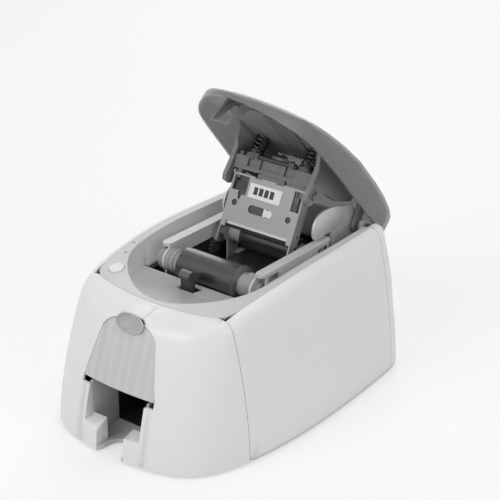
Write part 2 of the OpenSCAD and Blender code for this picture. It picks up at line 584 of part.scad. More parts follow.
arm_x = head_w/2 + 2.9;          // inside of the frame's arms
arm_t = 3;
plate_z = 152;                   // underside of the frame's roof plate
arm_outline = [[168, 152], [173, 147], [182, 135], [185, 122], [187, 108], [190, 104.5], [196, 104.5],
    [200, 108], [203, 121], [210, 124.5], [228, 128], [250, 140], [252, 152]];
module lid_inner_frame() at_origin() color([0.36, 0.37, 0.38, 0.85]) lid_open() {
    difference() {
        union() {
            both_sides() {
                across(arm_x, arm_x + arm_t) polygon(arm_outline);
                // rolled rim along the front edge of each arm
                across(arm_x, arm_x + arm_t + 1.1) polygon([[168, 152], [173, 147], [182, 135], [185, 122],
                    [187, 108], [190, 104.5], [193, 104.5], [191, 109], [189, 122], [186, 136], [177, 148], [175, 152]]);
                // ear that turns on the hinge pin
                across(ear_x, ear_x + 4) {
                    polygon([[hinge_y - 16, plate_z - 1.5], [hinge_y - 9, 133], [hinge_y - 5.6, hinge_z - 2],
                        [hinge_y, hinge_z], [hinge_y - 2, plate_z - 1.5]]);
                    translate([hinge_y, hinge_z]) circle(r = 6, $fn = 64);
                }
                // post between the roof plate and the shell
                for (p = [[34, 150], [34, 240]]) translate([p[0], p[1], plate_z])
                    cylinder(h = under_roof(p[0] + 5, p[1] + (p[1] > lid_mid_y ? 5 : -5)) - plate_z - 0.7, r = 3.5, $fn = 32);
            }
            box([-arm_x - arm_t, 142, plate_z], [arm_x + arm_t, 256, plate_z + 2.4]);
            box([-ear_x - 4, hinge_y - 16, plate_z - 3.9], [ear_x + 4, hinge_y - 3, plate_z - 1.5]);
            box([-arm_x - arm_t, hinge_y - 16, plate_z - 3.4], [arm_x + arm_t, hinge_y - 6, plate_z + 2.4]);
        }
        box([-30, 216, plate_z - 1], [30, 240, plate_z + 3]);
        both_sides() {
            rod(ear_x - 1, ear_x + 5, hinge_y, hinge_z, hinge_pin_r + run_gap);
            // slots in which the head's guide pins slide
            across(arm_x - 1, arm_x + arm_t + 4) translate([guide_y, guide_z + head_travel/2])
                square([2*guide_r + 0.4, 2*guide_r + head_travel + 1], center = true);
        }
    }
}
// Height of the underside of the closed lid's roof at a width and depth.
function under_roof(x, y) = let(share = max(abs(x)/(lid_w/2 - 5), abs(y - lid_mid_y)/(lid_rear_y - lid_mid_y)))
    crown_z(y, share) - lid_wall;
ear_x = 50;
guide_y = 196.5;
guide_z = 114;
guide_r = 2;
module lid_catch() at_origin() color([0.3, 0.31, 0.32]) lid_open() {
    z_top = under_roof(9, 112) - 0.9;
    across(latch_x - 9, latch_x - 6.9) polygon([[latch_y - 8, 115.2], [latch_y - 5, 115.2], [118, z_top - 8], [118, z_top], [105, z_top - 3]]);
    across(latch_x + 6.9, latch_x + 9) polygon([[latch_y - 8, 115.2], [latch_y - 5, 115.2], [118, z_top - 8], [118, z_top], [105, z_top - 3]]);
    rod(latch_x - 9, latch_x + 9, latch_y - 6.6, 116.3, 1.1);
    box([latch_x - 9, 110, z_top - 6], [latch_x + 9, 118, z_top - 4]);
}

module hinge_brackets() at_origin() color([0.72, 0.73, 0.74]) both_sides() {
    difference() {
        across(ear_x - 3, ear_x - 1) {
            difference() {
                polygon([[229, floor_in_z], [hinge_y - 7.5, floor_in_z], [hinge_y - 7.5, hinge_z - 10], [hinge_y + 2, hinge_z - 8],
                    [hinge_y + 6, hinge_z - 3], [hinge_y + 6.4, hinge_z + 5], [hinge_y + 3, 138],
                    [hinge_y - 4, 144], [hinge_y - 12, 147], [hinge_y - 22, 148], [233, 146.5], [229, 140]]);
                translate([245, 75]) circle(r = 8, $fn = 48);
            }
        }
        rod(ear_x - 4, ear_x, hinge_y, hinge_z, hinge_pin_r);
    }
    box([ear_x - 3, 232, floor_in_z], [ear_x + 5, hinge_y - 8, floor_in_z + 2]);
}
module hinge_pins() at_origin() color([0.62, 0.63, 0.65]) both_sides() {
    rod(ear_x - 3, ear_x + 5.2, hinge_y, hinge_z, hinge_pin_r);
    rod(ear_x - 4.2, ear_x - 3, hinge_y, hinge_z, hinge_pin_r + 1.2);
}

// ---------- print head ----------

// Places a piece drawn in the head's own frame: X across, Y to the rear, Z up the plate.
module on_head() at_origin() lid_open() translate([0, head_y, head_z]) rotate([head_lean, 0, 0]) children();
bar_z0 = head_h + 3.5;
bar_z1 = bar_z0 + 11.7;
module head_carrier() color([0.66, 0.67, 0.68]) difference() {
    carrier_sheet();
    at_origin() lid_open() both_sides() rod(head_w/2 - 3, head_w/2 + 1, guide_y, guide_z, guide_r);
}
module carrier_sheet() on_head() {
    w = head_w/2;
    // plate with its windows, label frame, slot and holes
    difference() {
        box([-w, 0, 0], [w, sheet_t, head_h]);
        box([-w + 2, -1, head_h - 15], [-w + 17.5, 3, head_h - 1.8]);
        box([w - 9.9, -1, head_h - 19.2], [w - 1.4, 3, head_h - 1.8]);
        for (x = [-w + 27.5, -w + 46]) translate([x, -1, head_h - 27.3]) rotate([-90, 0, 0]) cylinder(h = 4, r = 3.5, $fn = 48);
        box([-w + 27.5, -1, head_h - 30.8], [-w + 46, 3, head_h - 23.8]);
        for (p = [[-w + 8.6, 25.6, 2.8], [w - 9.2, 27.1, 2.8], [-w + 11.5, 17.2, 2.4]])
            translate([p[0], -1, head_h - p[1]]) rotate([-90, 0, 0]) cylinder(h = 4, r = p[2], $fn = 48);
        box([-w + 10.3, -1, head_h - 22], [-w + 12.7, 3, head_h - 17]);
        box([-w + 12, -1, head_h - 17.6], [-w + 17.5, 3, head_h - 14.9]);
        box([-15, -1, head_h - 1.2], [-8, 3, head_h + 1]);
        box([8, -1, head_h - 1.2], [15, 3, head_h + 1]);
    }
    both_sides() difference() {
        across(w - sheet_t, w) polygon([[0, -leg_l], [2.8, -leg_l], [3, -8], [flange_d, -5],
            [flange_d, head_h - 4], [flange_d - 4, head_h], [0, head_h]]);
        rod(w - 3, w + 1, flange_d - 3.2, 3, 1.4);
        across(w - 3, w + 1) translate([1.3, -leg_l + 4]) square([0.9, 8]);
    }
    // turned-in foot of the plate
    box([-w + sheet_t, 0, -5.4], [-w + 5, sheet_t, 0]);
    box([w - 5, 0, -5.4], [w - sheet_t, sheet_t, 0]);
}
module print_head() color([0.55, 0.55, 0.56]) on_head() {
    w = head_w/2 - sheet_t - 0.4;
    across(-w, w) polygon([[sheet_t + 0.2, -2.6], [6.8, -5.6], [9.2, -5.6], [9.4, 3.6], [sheet_t + 0.2, 3.6]]);
    box([-w + 8, 5.1, 3.5], [w - 8, 6.1, 12]);
}
module heat_sink() color([0.7, 0.71, 0.72]) on_head() {
    w = head_w/2 - sheet_t - 3;
    box([-w, sheet_t + 0.1, 3.9], [w, sheet_t + 1.6, 28]);
    for (k = [0:9]) box([-w + k*7, sheet_t + 1.5, 4.2], [-w + 1.6 + k*7, 5, 27.6]);
}
spring_x = 27.5;
spring_y = 192;
module head_mount_bar() color([0.6, 0.61, 0.62]) {
    on_head() difference() {
        union() {
            box([-head_w/2 - 2.4, -1, bar_z0], [head_w/2 + 2.4, 9, bar_z1]);
            // web that holds the carrier plate
            box([-14, 1.4, head_h - 6], [14, 4.6, bar_z0 + 1]);
            // half-round housing between the springs
            intersection() {
                translate([0, 12.5, bar_z1 - 2]) cylinder(h = 8, r = 11, $fn = 64);
                box([-14, 1.5, bar_z1 - 2], [14, 13, bar_z1 + 7]);
            }
            box([-11, 8, bar_z0 + 2], [11, 12.5, bar_z1 - 1]);
        }
        for (p = [[-26.5, -15.5], [-13.5, 9], [12.5, 23]]) box([p[0], -2, bar_z0 + 3.4], [p[1], 1.2, bar_z1 + 1]);
        box([-13, -2, bar_z0 - 1], [-9, 1, bar_z0 + 1]);
    }
    // spring seats, upright when the lid is closed
    at_origin() lid_open() both_sides() {
        translate([spring_x, spring_y, seat_z - 5]) cylinder(h = 5, r = spring_d/2, $fn = 48);
        translate([spring_x, spring_y, seat_z - 1]) cylinder(h = 6, r = spring_d/2 - spring_wire - 0.4, $fn = 48);
        // guide pins in the slots of the lid's frame
        rod(head_w/2 - 4, arm_x + arm_t + 1, guide_y, guide_z, guide_r);
    }
    on_head() both_sides() box([head_w/2 - 6, 1.4, head_h - 4], [head_w/2 - 1.4, 8, bar_z0 + 1]);
}
seat_z = 133;
module head_springs() at_origin() color([0.25, 0.25, 0.26]) lid_open() both_sides()
    translate([spring_x, spring_y, seat_z + 0.1]) coil(spring_d, spring_wire, plate_z - seat_z - 0.3, 5);
module head_cross_rod() color([0.35, 0.35, 0.36]) on_head() {
    rod(-23, 23, -0.6, bar_z1 + 1.9, 1.7);
    both_sides() difference() {
        box([16, -3.2, bar_z1 + 0.05], [21.4, 2.2, bar_z1 + 4.6]);
        rod(15, 23, -0.6, bar_z1 + 1.9, 1.7);
    }
    translate([-36, 1.6, bar_z1 + 0.05]) cylinder(h = 3.4, r = 2.5, $fn = 40);
}
module head_label() color([0.92, 0.92, 0.9]) on_head() {
    w = head_w/2;
    difference() {
        box([-w + 20.4, -0.7, head_h - 17.9], [-w + 54, 0, head_h - 5.4]);
        box([-w + 22, -1.7, head_h - 16.6], [-w + 52.6, -0.35, head_h - 6.7]);
    }
    // white slider in the right end of the slot
    difference() {
        translate([-w + 45.9, 1.1, head_h - 27.3]) rotate([90, 0, 0]) cylinder(h = 1, r = 3.3, $fn = 48);
        box([-w + 40, 0, head_h - 31], [-w + 43, 2, head_h - 23]);
    }
    box([-w + 40, 0.1, head_h - 30.6], [-w + 43.1, 1.1, head_h - 24]);
}
module head_flat_cable() at_origin() color([0.5, 0.5, 0.51]) lid_open() {
    for (k = [0:5]) box([-4 + k*4, 146, plate_z - 1.6], [-1.4 + k*4, 213, plate_z - 0.7]);
    box([-4, 146, plate_z - 0.8], [18.6, 213, plate_z]);
}

// ---------- ribbon cassette ----------

plate_x = cassette_w/2;          // inside of a side plate
rail_w = 9;
module side_rail() {
    ends = [supply_y - 3.5, takeup_y + 11];
    difference() {
        union() {
            // handle strip with round ends
            box([plate_x, ends[0] + 4, rail_z - 2.6], [plate_x + rail_w, ends[1] - 4, rail_z]);
            for (y = [ends[0] + 4.5, ends[1] - 4.5]) translate([plate_x + 4.5, y, rail_z - 2.6]) cylinder(h = 2.6, r = 4.5, $fn = 48);
            box([plate_x + rail_w - 1.5, ends[0] + 5, rail_z - 11], [plate_x + rail_w, ends[1] - 5, rail_z - 1]);
            // side plate with a lobe round each spool
            box([plate_x, ends[0] + 1, rail_z - 13], [plate_x + 2, ends[1] - 1, rail_z - 1]);
            for (p = [[supply_y, supply_z], [takeup_y, takeup_z]]) {
                rod(plate_x, plate_x + 2, p[0], p[1], journal_r + 4.5);
                box([plate_x, p[0] - 7, seat_in_z + 0.2], [plate_x + 2, p[0] + 7, p[1]]);
            }
        }
        for (p = [[supply_y, supply_z], [takeup_y, takeup_z]]) rod(plate_x - 1, plate_x + 3, p[0], p[1], journal_r + run_gap);
        // windows in the outer wall
        for (y = [ends[0] + 8, ends[1] - 21]) box([plate_x + rail_w - 3, y, rail_z - 9], [plate_x + rail_w + 1, y + 14, rail_z - 3.5]);
    }
}
module cassette_right_rail() at_origin() color([0.76, 0.77, 0.77]) side_rail();
module cassette_left_rail() at_origin() color([0.76, 0.77, 0.77]) mirror([1, 0, 0]) side_rail();
bar_x = plate_x;
module cassette_cross_bars() at_origin() color([0.7, 0.71, 0.71]) {
    for (p = [[supply_y - 5, 90], [takeup_y + 2, 88]]) difference() {
        box([-bar_x, p[0], p[1]], [bar_x, p[0] + 7, p[1] + 3]);
        box([-bar_x + 6, p[0] + 2, p[1] + 1], [bar_x - 6, p[0] + 5, p[1] + 4]);
    }
}
module supply_core() at_origin() color([0.7, 0.71, 0.71]) {
    rod(-film_w/2 - 0.1, film_w/2 + 4, supply_y, supply_z, 9);
    difference() {
        rod(-plate_x + 0.6, -film_w/2, supply_y, supply_z, 10.5);
        rod(-plate_x + 4, -plate_x + 5.4, supply_y, supply_z, 12);
        rod(-plate_x + 9, -film_w/2 - 4, supply_y, supply_z, 12);
    }
    rod(-plate_x + 3, -film_w/2, supply_y, supply_z, 9.6);
    rod(film_w/2, film_w/2 + 3.6, supply_y, supply_z, supply_r + 0.5);
    rod(film_w/2 + 3.5, plate_x - 0.6, supply_y, supply_z, 10);
    rod(-plate_x - 7.2, plate_x + 5, supply_y, supply_z, journal_r);
    // driving lug on the right hub
    box([plate_x - 7, supply_y - 2, supply_z + 8], [plate_x - 1.2, supply_y + 2, supply_z + 12]);
}
module supply_film() at_origin() color([0.2, 0.2, 0.21]) difference() {
    rod(-film_w/2, film_w/2 - 0.1, supply_y, supply_z, supply_r);
    rod(-film_w/2 - 1, film_w/2 + 1, supply_y, supply_z, 9);
}
module supply_discs() at_origin() color([0.66, 0.67, 0.67]) difference() {
    union() {
        for (k = [0:2]) rod(-plate_x - 3.4 - k*1.8, -plate_x - 2.4 - k*1.8, supply_y, supply_z, 10);
        rod(-plate_x - 7, -plate_x - 2.4, supply_y, supply_z, 8);
    }
    rod(-plate_x - 9, -plate_x, supply_y, supply_z, journal_r);
}
module takeup_core() at_origin() color([0.72, 0.73, 0.73]) {
    rod(-plate_x + 0.6, plate_x - 0.6, takeup_y, takeup_z, 8);
    rod(-frame_w/2 - 0.4, plate_x + 5, takeup_y, takeup_z, journal_r);
    box([plate_x - 6.4, takeup_y - 2, takeup_z + 6], [plate_x - 1.2, takeup_y + 2, takeup_z + 10]);
    translate([-frame_w/2 + 3.2, takeup_y, takeup_z]) rotate([0, 90, 0]) gear(ribbon_teeth, 3.4, -ribbon_turn);
}
module takeup_film() at_origin() color([0.14, 0.14, 0.15]) difference() {
    rod(-film_w/2, film_w/2, takeup_y, takeup_z, takeup_r);
    rod(-film_w/2 - 1, film_w/2 + 1, takeup_y, takeup_z, 8);
}
module ribbon_web() at_origin() color([0.1, 0.1, 0.11])
    across(-film_w/2 + 0.5, film_w/2 - 0.5) polygon([[supply_y, supply_z - supply_r - 0.35],
        [takeup_y, takeup_z - takeup_r - 0.35], [takeup_y, takeup_z - takeup_r - 0.1],
        [supply_y, supply_z - supply_r - 0.1]]);

// ---------- mechanism ----------

frame_y0 = 116.5;
frame_y1 = 269;
frame_z0 = 46;
frame_z1 = 103.5;
floor_in_z = frame_z0 + 2.5;     // floor of the mechanism frame
seat_in_z = 70;                  // seats on which the cassette stands
platen_y = head_y + 12.35;
platen_z = head_z - 9.7;
feed_y = 152;
feed_z = platen_z;
pick_y = 84;
pick_z = feeder_floor_z - 8.6;
gear_x = -frame_w/2 - 6;
motor_y = platen_y;
motor_z = platen_z - gear_module*(gear_teeth + pinion_teeth)/2;
// the ribbon pinion sits below and in front of the take-up spool's gear
ribbon_teeth = 24;
ribbon_pinion_teeth = 12;
ribbon_turn = 38;
ribbon_gap = gear_module*(ribbon_teeth + ribbon_pinion_teeth)/2;
ribbon_pinion_y = takeup_y - ribbon_gap*sin(ribbon_turn);
ribbon_pinion_z = takeup_z - ribbon_gap*cos(ribbon_turn);

// A spur gear with straight-sided teeth; the tooth at angle 0 points along X.
module gear(teeth, width, start = 0) {
    m = gear_module;
    r = m*teeth/2;
    function at(a, rr) = [rr*cos(a), rr*sin(a)];
    step = 360/teeth;
    linear_extrude(width) polygon([for (k = [0:teeth - 1]) let(c = start + k*step) each [
        at(c - step*0.30, r - 1.25*m), at(c - step*0.225, r - 0.1*m), at(c - step*0.10, r + 0.9*m),
        at(c + step*0.10, r + 0.9*m), at(c + step*0.225, r - 0.1*m), at(c + step*0.30, r - 1.25*m)]]);
}
module mechanism_frame() at_origin() color([0.16, 0.16, 0.17]) {
    w = frame_w/2;
    difference() {
        union() {
            box([-w, frame_y0, frame_z0], [w, frame_y1, frame_z1]);
            // pillars down to the base pan
            for (p = [[-w + 4, frame_y0 + 8], [w - 4, frame_y0 + 8], [-w + 4, frame_y1 - 8], [w - 4, frame_y1 - 8]])
                translate([p[0], p[1], foot_h + pan_t]) cylinder(h = frame_z0 - foot_h - pan_t + 1, r = 4, $fn = 32);
            // bearing wall beside the take-up gear
            box([-w, takeup_y - 14, frame_z1 - 1], [-w + 2.5, takeup_y + 14, takeup_z + 11]);
        }
        box([-w + 2.5, frame_y0 + 2.5, floor_in_z], [w - 2.5, frame_y1 - 2.5, 130]);
        rod(-w - 1, w + 1, platen_y, platen_z, shaft_r + run_gap);
        rod(-w - 1, w + 1, feed_y, feed_z, shaft_r + run_gap);
        rod(-w - 1, -w + 4, takeup_y, takeup_z, journal_r + run_gap);
        rod(-w - 1, -w + 4, ribbon_pinion_y, ribbon_pinion_z, 1.6);
        // card entry and the slot towards the rear
        box([-bay_w/2, frame_y0 - 1, 68], [bay_w/2, frame_y0 + 4, 76]);
        box([-bay_w/2, frame_y1 - 4, 68], [bay_w/2, frame_y1 + 1, 78]);
    }
    // seats of the cassette's side plates
    for (y = [supply_y - 8, takeup_y - 13]) both_sides()
        box([plate_x - 1.5, y, floor_in_z - eps], [plate_x + 3.5, y + 15, seat_in_z]);
    // card guides
    for (y = [[frame_y0 + 2, feed_y - 11], [feed_y + 11, platen_y - 12]]) both_sides()
        box([bay_w/2 - 4, y[0], floor_in_z - eps], [bay_w/2, y[1], 68]);
}
module platen_roller() at_origin() color([0.13, 0.13, 0.14]) {
    rod(-head_w/2 + 5, head_w/2 - 5, platen_y, platen_z, platen_r);
    rod(gear_x - 13, frame_w/2 + 2, platen_y, platen_z, shaft_r);
    rod(gear_x - 12, gear_x - 6, platen_y, platen_z, pulley_r);
}
module platen_gear() at_origin() color([0.85, 0.84, 0.8])
    translate([gear_x, platen_y, platen_z]) rotate([0, 90, 0]) difference() {
        gear(gear_teeth, 4);
        translate([0, 0, -1]) cylinder(h = 6, r = shaft_r, $fn = 48);
        for (a = [0:60:300]) rotate(a + 30) translate([11.5, 0, -1]) cylinder(h = 6, r = 4, $fn = 32);
    }
module feed_roller() at_origin() color([0.2, 0.2, 0.21]) {
    for (x = [-20, 8]) rod(x, x + 12, feed_y, feed_z, platen_r);
    rod(gear_x - 19, frame_w/2 + 2, feed_y, feed_z, shaft_r);
    rod(gear_x - 12, gear_x - 6, feed_y, feed_z, pulley_r);
    rod(gear_x - 19, gear_x - 13, feed_y, feed_z, pulley_r);
}
module pick_roller() at_origin() color([0.25, 0.25, 0.26]) {
    rod(-14, 14, pick_y, pick_z, 9);
    rod(gear_x - 19.5, bay_w/2 + 8, pick_y, pick_z, shaft_r);
    rod(gear_x - 19, gear_x - 13, pick_y, pick_z, pulley_r);
}
// A flat belt round two pulleys of one size.
module belt(x, w, a, b) {
    gap = 0.12;
    t = 1.4;
    span = norm(b - a);
    r = pulley_r + gap;
    translate([x, a[0], a[1]]) rotate([atan2(b[1] - a[1], b[0] - a[0]), 0, 0]) {
        for (s = [-1, 1]) box([0, 0, s > 0 ? r : -r - t], [w, span, s > 0 ? r + t : -r]);
        for (e = [[0, -1], [span, 1]]) difference() {
            rod(0, w, e[0], 0, r + t);
            rod(-1, w + 1, e[0], 0, r);
            box([-1, e[1] > 0 ? e[0] - 20 : e[0], -20], [w + 1, e[1] > 0 ? e[0] : e[0] + 20, 20]);
        }
    }
}
module drive_belts() at_origin() color([0.1, 0.1, 0.1]) {
    belt(gear_x - 11.7, 5.4, [feed_y, feed_z], [platen_y, platen_z]);
    belt(gear_x - 18.7, 5.4, [pick_y, pick_z], [feed_y, feed_z]);
}
module drive_motor() at_origin() color([0.5, 0.5, 0.52]) {
    r = motor_z_gap - 0.5;
    difference() {
        rod(-55, -24, motor_y, motor_z, r);
        // flats of the motor's can
        for (t = [-1, 1]) box([-53, t > 0 ? motor_y + r - 1.2 : motor_y - r - 1, motor_z - r - 1],
            [-23, t > 0 ? motor_y + r + 1 : motor_y - r + 1.2, motor_z + r + 1]);
    }
    rod(-57, -54.5, motor_y, motor_z, 6);
    rod(-24.5, -21, motor_y, motor_z, 4.5);
    rod(gear_x - 0.5, -56.5, motor_y, motor_z, shaft_r - run_gap);
    // bracket that hangs the motor under the frame
    box([-57, motor_y - 8, motor_z + 5], [-55, motor_y + 8, frame_z0]);
}
motor_z_gap = frame_z0 - motor_z;
module motor_pinion() at_origin() color([0.85, 0.75, 0.45])
    translate([gear_x, motor_y, motor_z]) rotate([0, 90, 0]) difference() {
        gear(pinion_teeth, 5, 360/pinion_teeth/2 + 180);
        translate([0, 0, -1]) cylinder(h = 7, r = shaft_r, $fn = 48);
    }
module ribbon_motor() at_origin() color([0.55, 0.55, 0.57]) {
    rod(-frame_w/2 - 17, -frame_w/2 - 0.2, ribbon_pinion_y, ribbon_pinion_z, 7.2);
    rod(-frame_w/2 - 19, -frame_w/2 - 16, ribbon_pinion_y, ribbon_pinion_z, 3);
    rod(-frame_w/2 - 1, -frame_w/2 + 6.8, ribbon_pinion_y, ribbon_pinion_z, 1.2);
}
module ribbon_pinion() at_origin() color([0.85, 0.84, 0.8])
    translate([-frame_w/2 + 3, ribbon_pinion_y, ribbon_pinion_z]) rotate([0, 90, 0]) difference() {
        gear(ribbon_pinion_teeth, 3.4, 180 - ribbon_turn + 180/ribbon_pinion_teeth);
        translate([0, 0, -1]) cylinder(h = 6, r = 1.2 + run_gap, $fn = 48);
    }

// ---------- electronics ----------

board_z = 12;
screw_x = [-16, 44];
screw_y = [156, 252];
usb_x = 4;
usb_z = board_z + 8;
power_x = 32;
power_z = board_z + 9;
module main_board() at_origin() color([0.1, 0.4, 0.22]) {
    difference() {
        box([-21, 150, board_z], [50, 262, board_z + 1.6]);
        for (x = screw_x, y = screw_y) translate([x, y, 0]) cylinder(h = 40, r = 1.6, $fn = 32);
    }
    for (p = [[-10, 175, 14, 14], [18, 168, 20, 12], [-6, 210, 8, 16], [26, 200, 12, 12]])
        box([p[0], p[1], board_z + 1.5], [p[0] + p[2], p[1] + p[3], board_z + 4]);
    for (x = [15, 28]) translate([x, 228, board_z + 1.5]) cylinder(h = 12, r = 5, $fn = 32);
}
module usb_socket() at_origin() color([0.7, 0.71, 0.73]) difference() {
    box([usb_x - 6, 254, board_z + 1.7], [usb_x + 6, 273.5, usb_z + 5.6]);
    box([usb_x - 4.3, 262, usb_z - 4], [usb_x + 4.3, 275, usb_z + 4]);
}
module power_socket() at_origin() color([0.15, 0.15, 0.16]) difference() {
    union() {
        box([power_x - 4.5, 255, board_z + 1.7], [power_x + 4.5, 266, power_z + 5]);
        translate([power_x, 265, power_z]) rotate([-90, 0, 0]) cylinder(h = 8, r = 4.8, $fn = 48);
    }
    translate([power_x, 259, power_z]) rotate([-90, 0, 0]) cylinder(h = 20, r = 3.2, $fn = 48);
}
module cover_screws() at_origin() color([0.6, 0.6, 0.62])
    for (x = screw_x, y = screw_y) translate([x, y, board_z + 1.62]) difference() {
        union() {
            cylinder(h = 2, r = 2.8, $fn = 32);
            translate([0, 0, -1.6]) cylinder(h = 2, r = 1.5, $fn = 32);
        }
        box([-2.2, -0.4, 1.2], [2.2, 0.4, 3]);
        box([-0.4, -2.2, 1.2], [0.4, 2.2, 3]);
    }

base_pan();
rubber_feet();
front_cover();
left_side_cover();
right_side_cover();
rear_cover();
top_deck();
control_button();
indicator_lights();
feeder_door();
door_pivots();
bay_sleeve();
output_tray();
card_feeder();
latch_hook();
latch_spring();
lid_shell();
lid_inner_frame();
lid_catch();
hinge_brackets();
hinge_pins();
head_mount_bar();
head_carrier();
print_head();
heat_sink();
head_springs();
head_cross_rod();
head_label();
head_flat_cable();
cassette_left_rail();
cassette_right_rail();
cassette_cross_bars();
supply_core();
supply_film();
supply_discs();
takeup_core();
takeup_film();
ribbon_web();
mechanism_frame();
platen_roller();
platen_gear();
feed_roller();
pick_roller();
drive_belts();
drive_motor();
motor_pinion();
ribbon_motor();
ribbon_pinion();
main_board();
usb_socket();
power_socket();
cover_screws();
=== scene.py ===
"""Looks of a desktop card printer: covers, finishes, light and camera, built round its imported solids."""

from __future__ import annotations

import json
import logging
import math
from dataclasses import dataclass
from enum import Enum
from typing import ClassVar

import bmesh
import bpy
from mathutils import Matrix, Vector

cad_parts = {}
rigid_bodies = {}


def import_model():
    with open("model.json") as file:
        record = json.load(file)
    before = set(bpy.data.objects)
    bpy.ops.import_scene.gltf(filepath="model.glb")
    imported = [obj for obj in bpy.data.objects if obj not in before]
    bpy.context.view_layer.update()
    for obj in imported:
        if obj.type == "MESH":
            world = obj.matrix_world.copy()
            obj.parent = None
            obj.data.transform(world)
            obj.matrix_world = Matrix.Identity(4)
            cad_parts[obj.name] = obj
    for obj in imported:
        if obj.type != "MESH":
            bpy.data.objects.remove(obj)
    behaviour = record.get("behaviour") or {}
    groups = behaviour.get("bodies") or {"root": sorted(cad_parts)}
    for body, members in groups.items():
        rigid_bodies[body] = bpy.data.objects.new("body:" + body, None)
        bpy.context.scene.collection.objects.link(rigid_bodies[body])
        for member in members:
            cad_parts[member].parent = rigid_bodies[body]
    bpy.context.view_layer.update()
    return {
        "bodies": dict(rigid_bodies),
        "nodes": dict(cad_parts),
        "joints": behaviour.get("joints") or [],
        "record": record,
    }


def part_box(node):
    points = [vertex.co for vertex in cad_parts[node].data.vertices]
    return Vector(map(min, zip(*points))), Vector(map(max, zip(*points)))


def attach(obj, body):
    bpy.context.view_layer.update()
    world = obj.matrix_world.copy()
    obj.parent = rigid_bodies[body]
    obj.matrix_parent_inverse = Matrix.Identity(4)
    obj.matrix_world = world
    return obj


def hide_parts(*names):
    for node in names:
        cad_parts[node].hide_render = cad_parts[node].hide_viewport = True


LOG = logging.getLogger("card_printer")
MM = 0.001
HINGE_NODE = "hinge_pins"
OPEN_ANGLE = math.radians(47.6)
MERGE_M = 0.000012
SKIN_ANGLE = math.radians(32.0)
ROOF_ANGLE = math.radians(34.0)
BLOCK_ANGLE = math.radians(40.0)
BEVEL_ANGLE = math.radians(50.0)
ORIGIN = (0.0, 0.0, 0.0)


def hinge_centre() -> tuple[float, float, float]:
    """Finds the middle of the lid's hinge pins.

    Returns:
        The point, in metres.
    """
    low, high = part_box(HINGE_NODE)
    return 0.0, (low[1] + high[1]) / 2, (low[2] + high[2]) / 2


def lid_frame() -> Matrix:
    """Finds the lid's own frame at its hinge, as the lid stands open.

    Returns:
        The frame, in metres.
    """
    return Matrix.Translation(hinge_centre()) @ Matrix.Rotation(-OPEN_ANGLE, 4, "X")


def math_node(nodes: bpy.types.Nodes, operation: str, value: float | None = None) -> bpy.types.ShaderNode:
    """Adds a Math node.

    Args:
        nodes: Where it goes.
        operation: What it does.
        value: Its second value, unless that is linked or unused.

    Returns:
        The node.
    """
    node = nodes.new("ShaderNodeMath")
    node.operation = operation
    if value is not None:
        node.inputs[1].default_value = value
    return node


class Surface(Enum):
    """How the surface of a finish is textured."""

    MOULDED = "fine spark-eroded moulding texture"
    POLISHED = "smooth plastic or film"
    BRUSHED = "rolled sheet metal with fine lines"
    TURNED = "turned or drawn bar"
    SOFT = "rubber"
    PRINTED = "plain label"
    FLUTED = "smooth plastic with soft upright flutes"


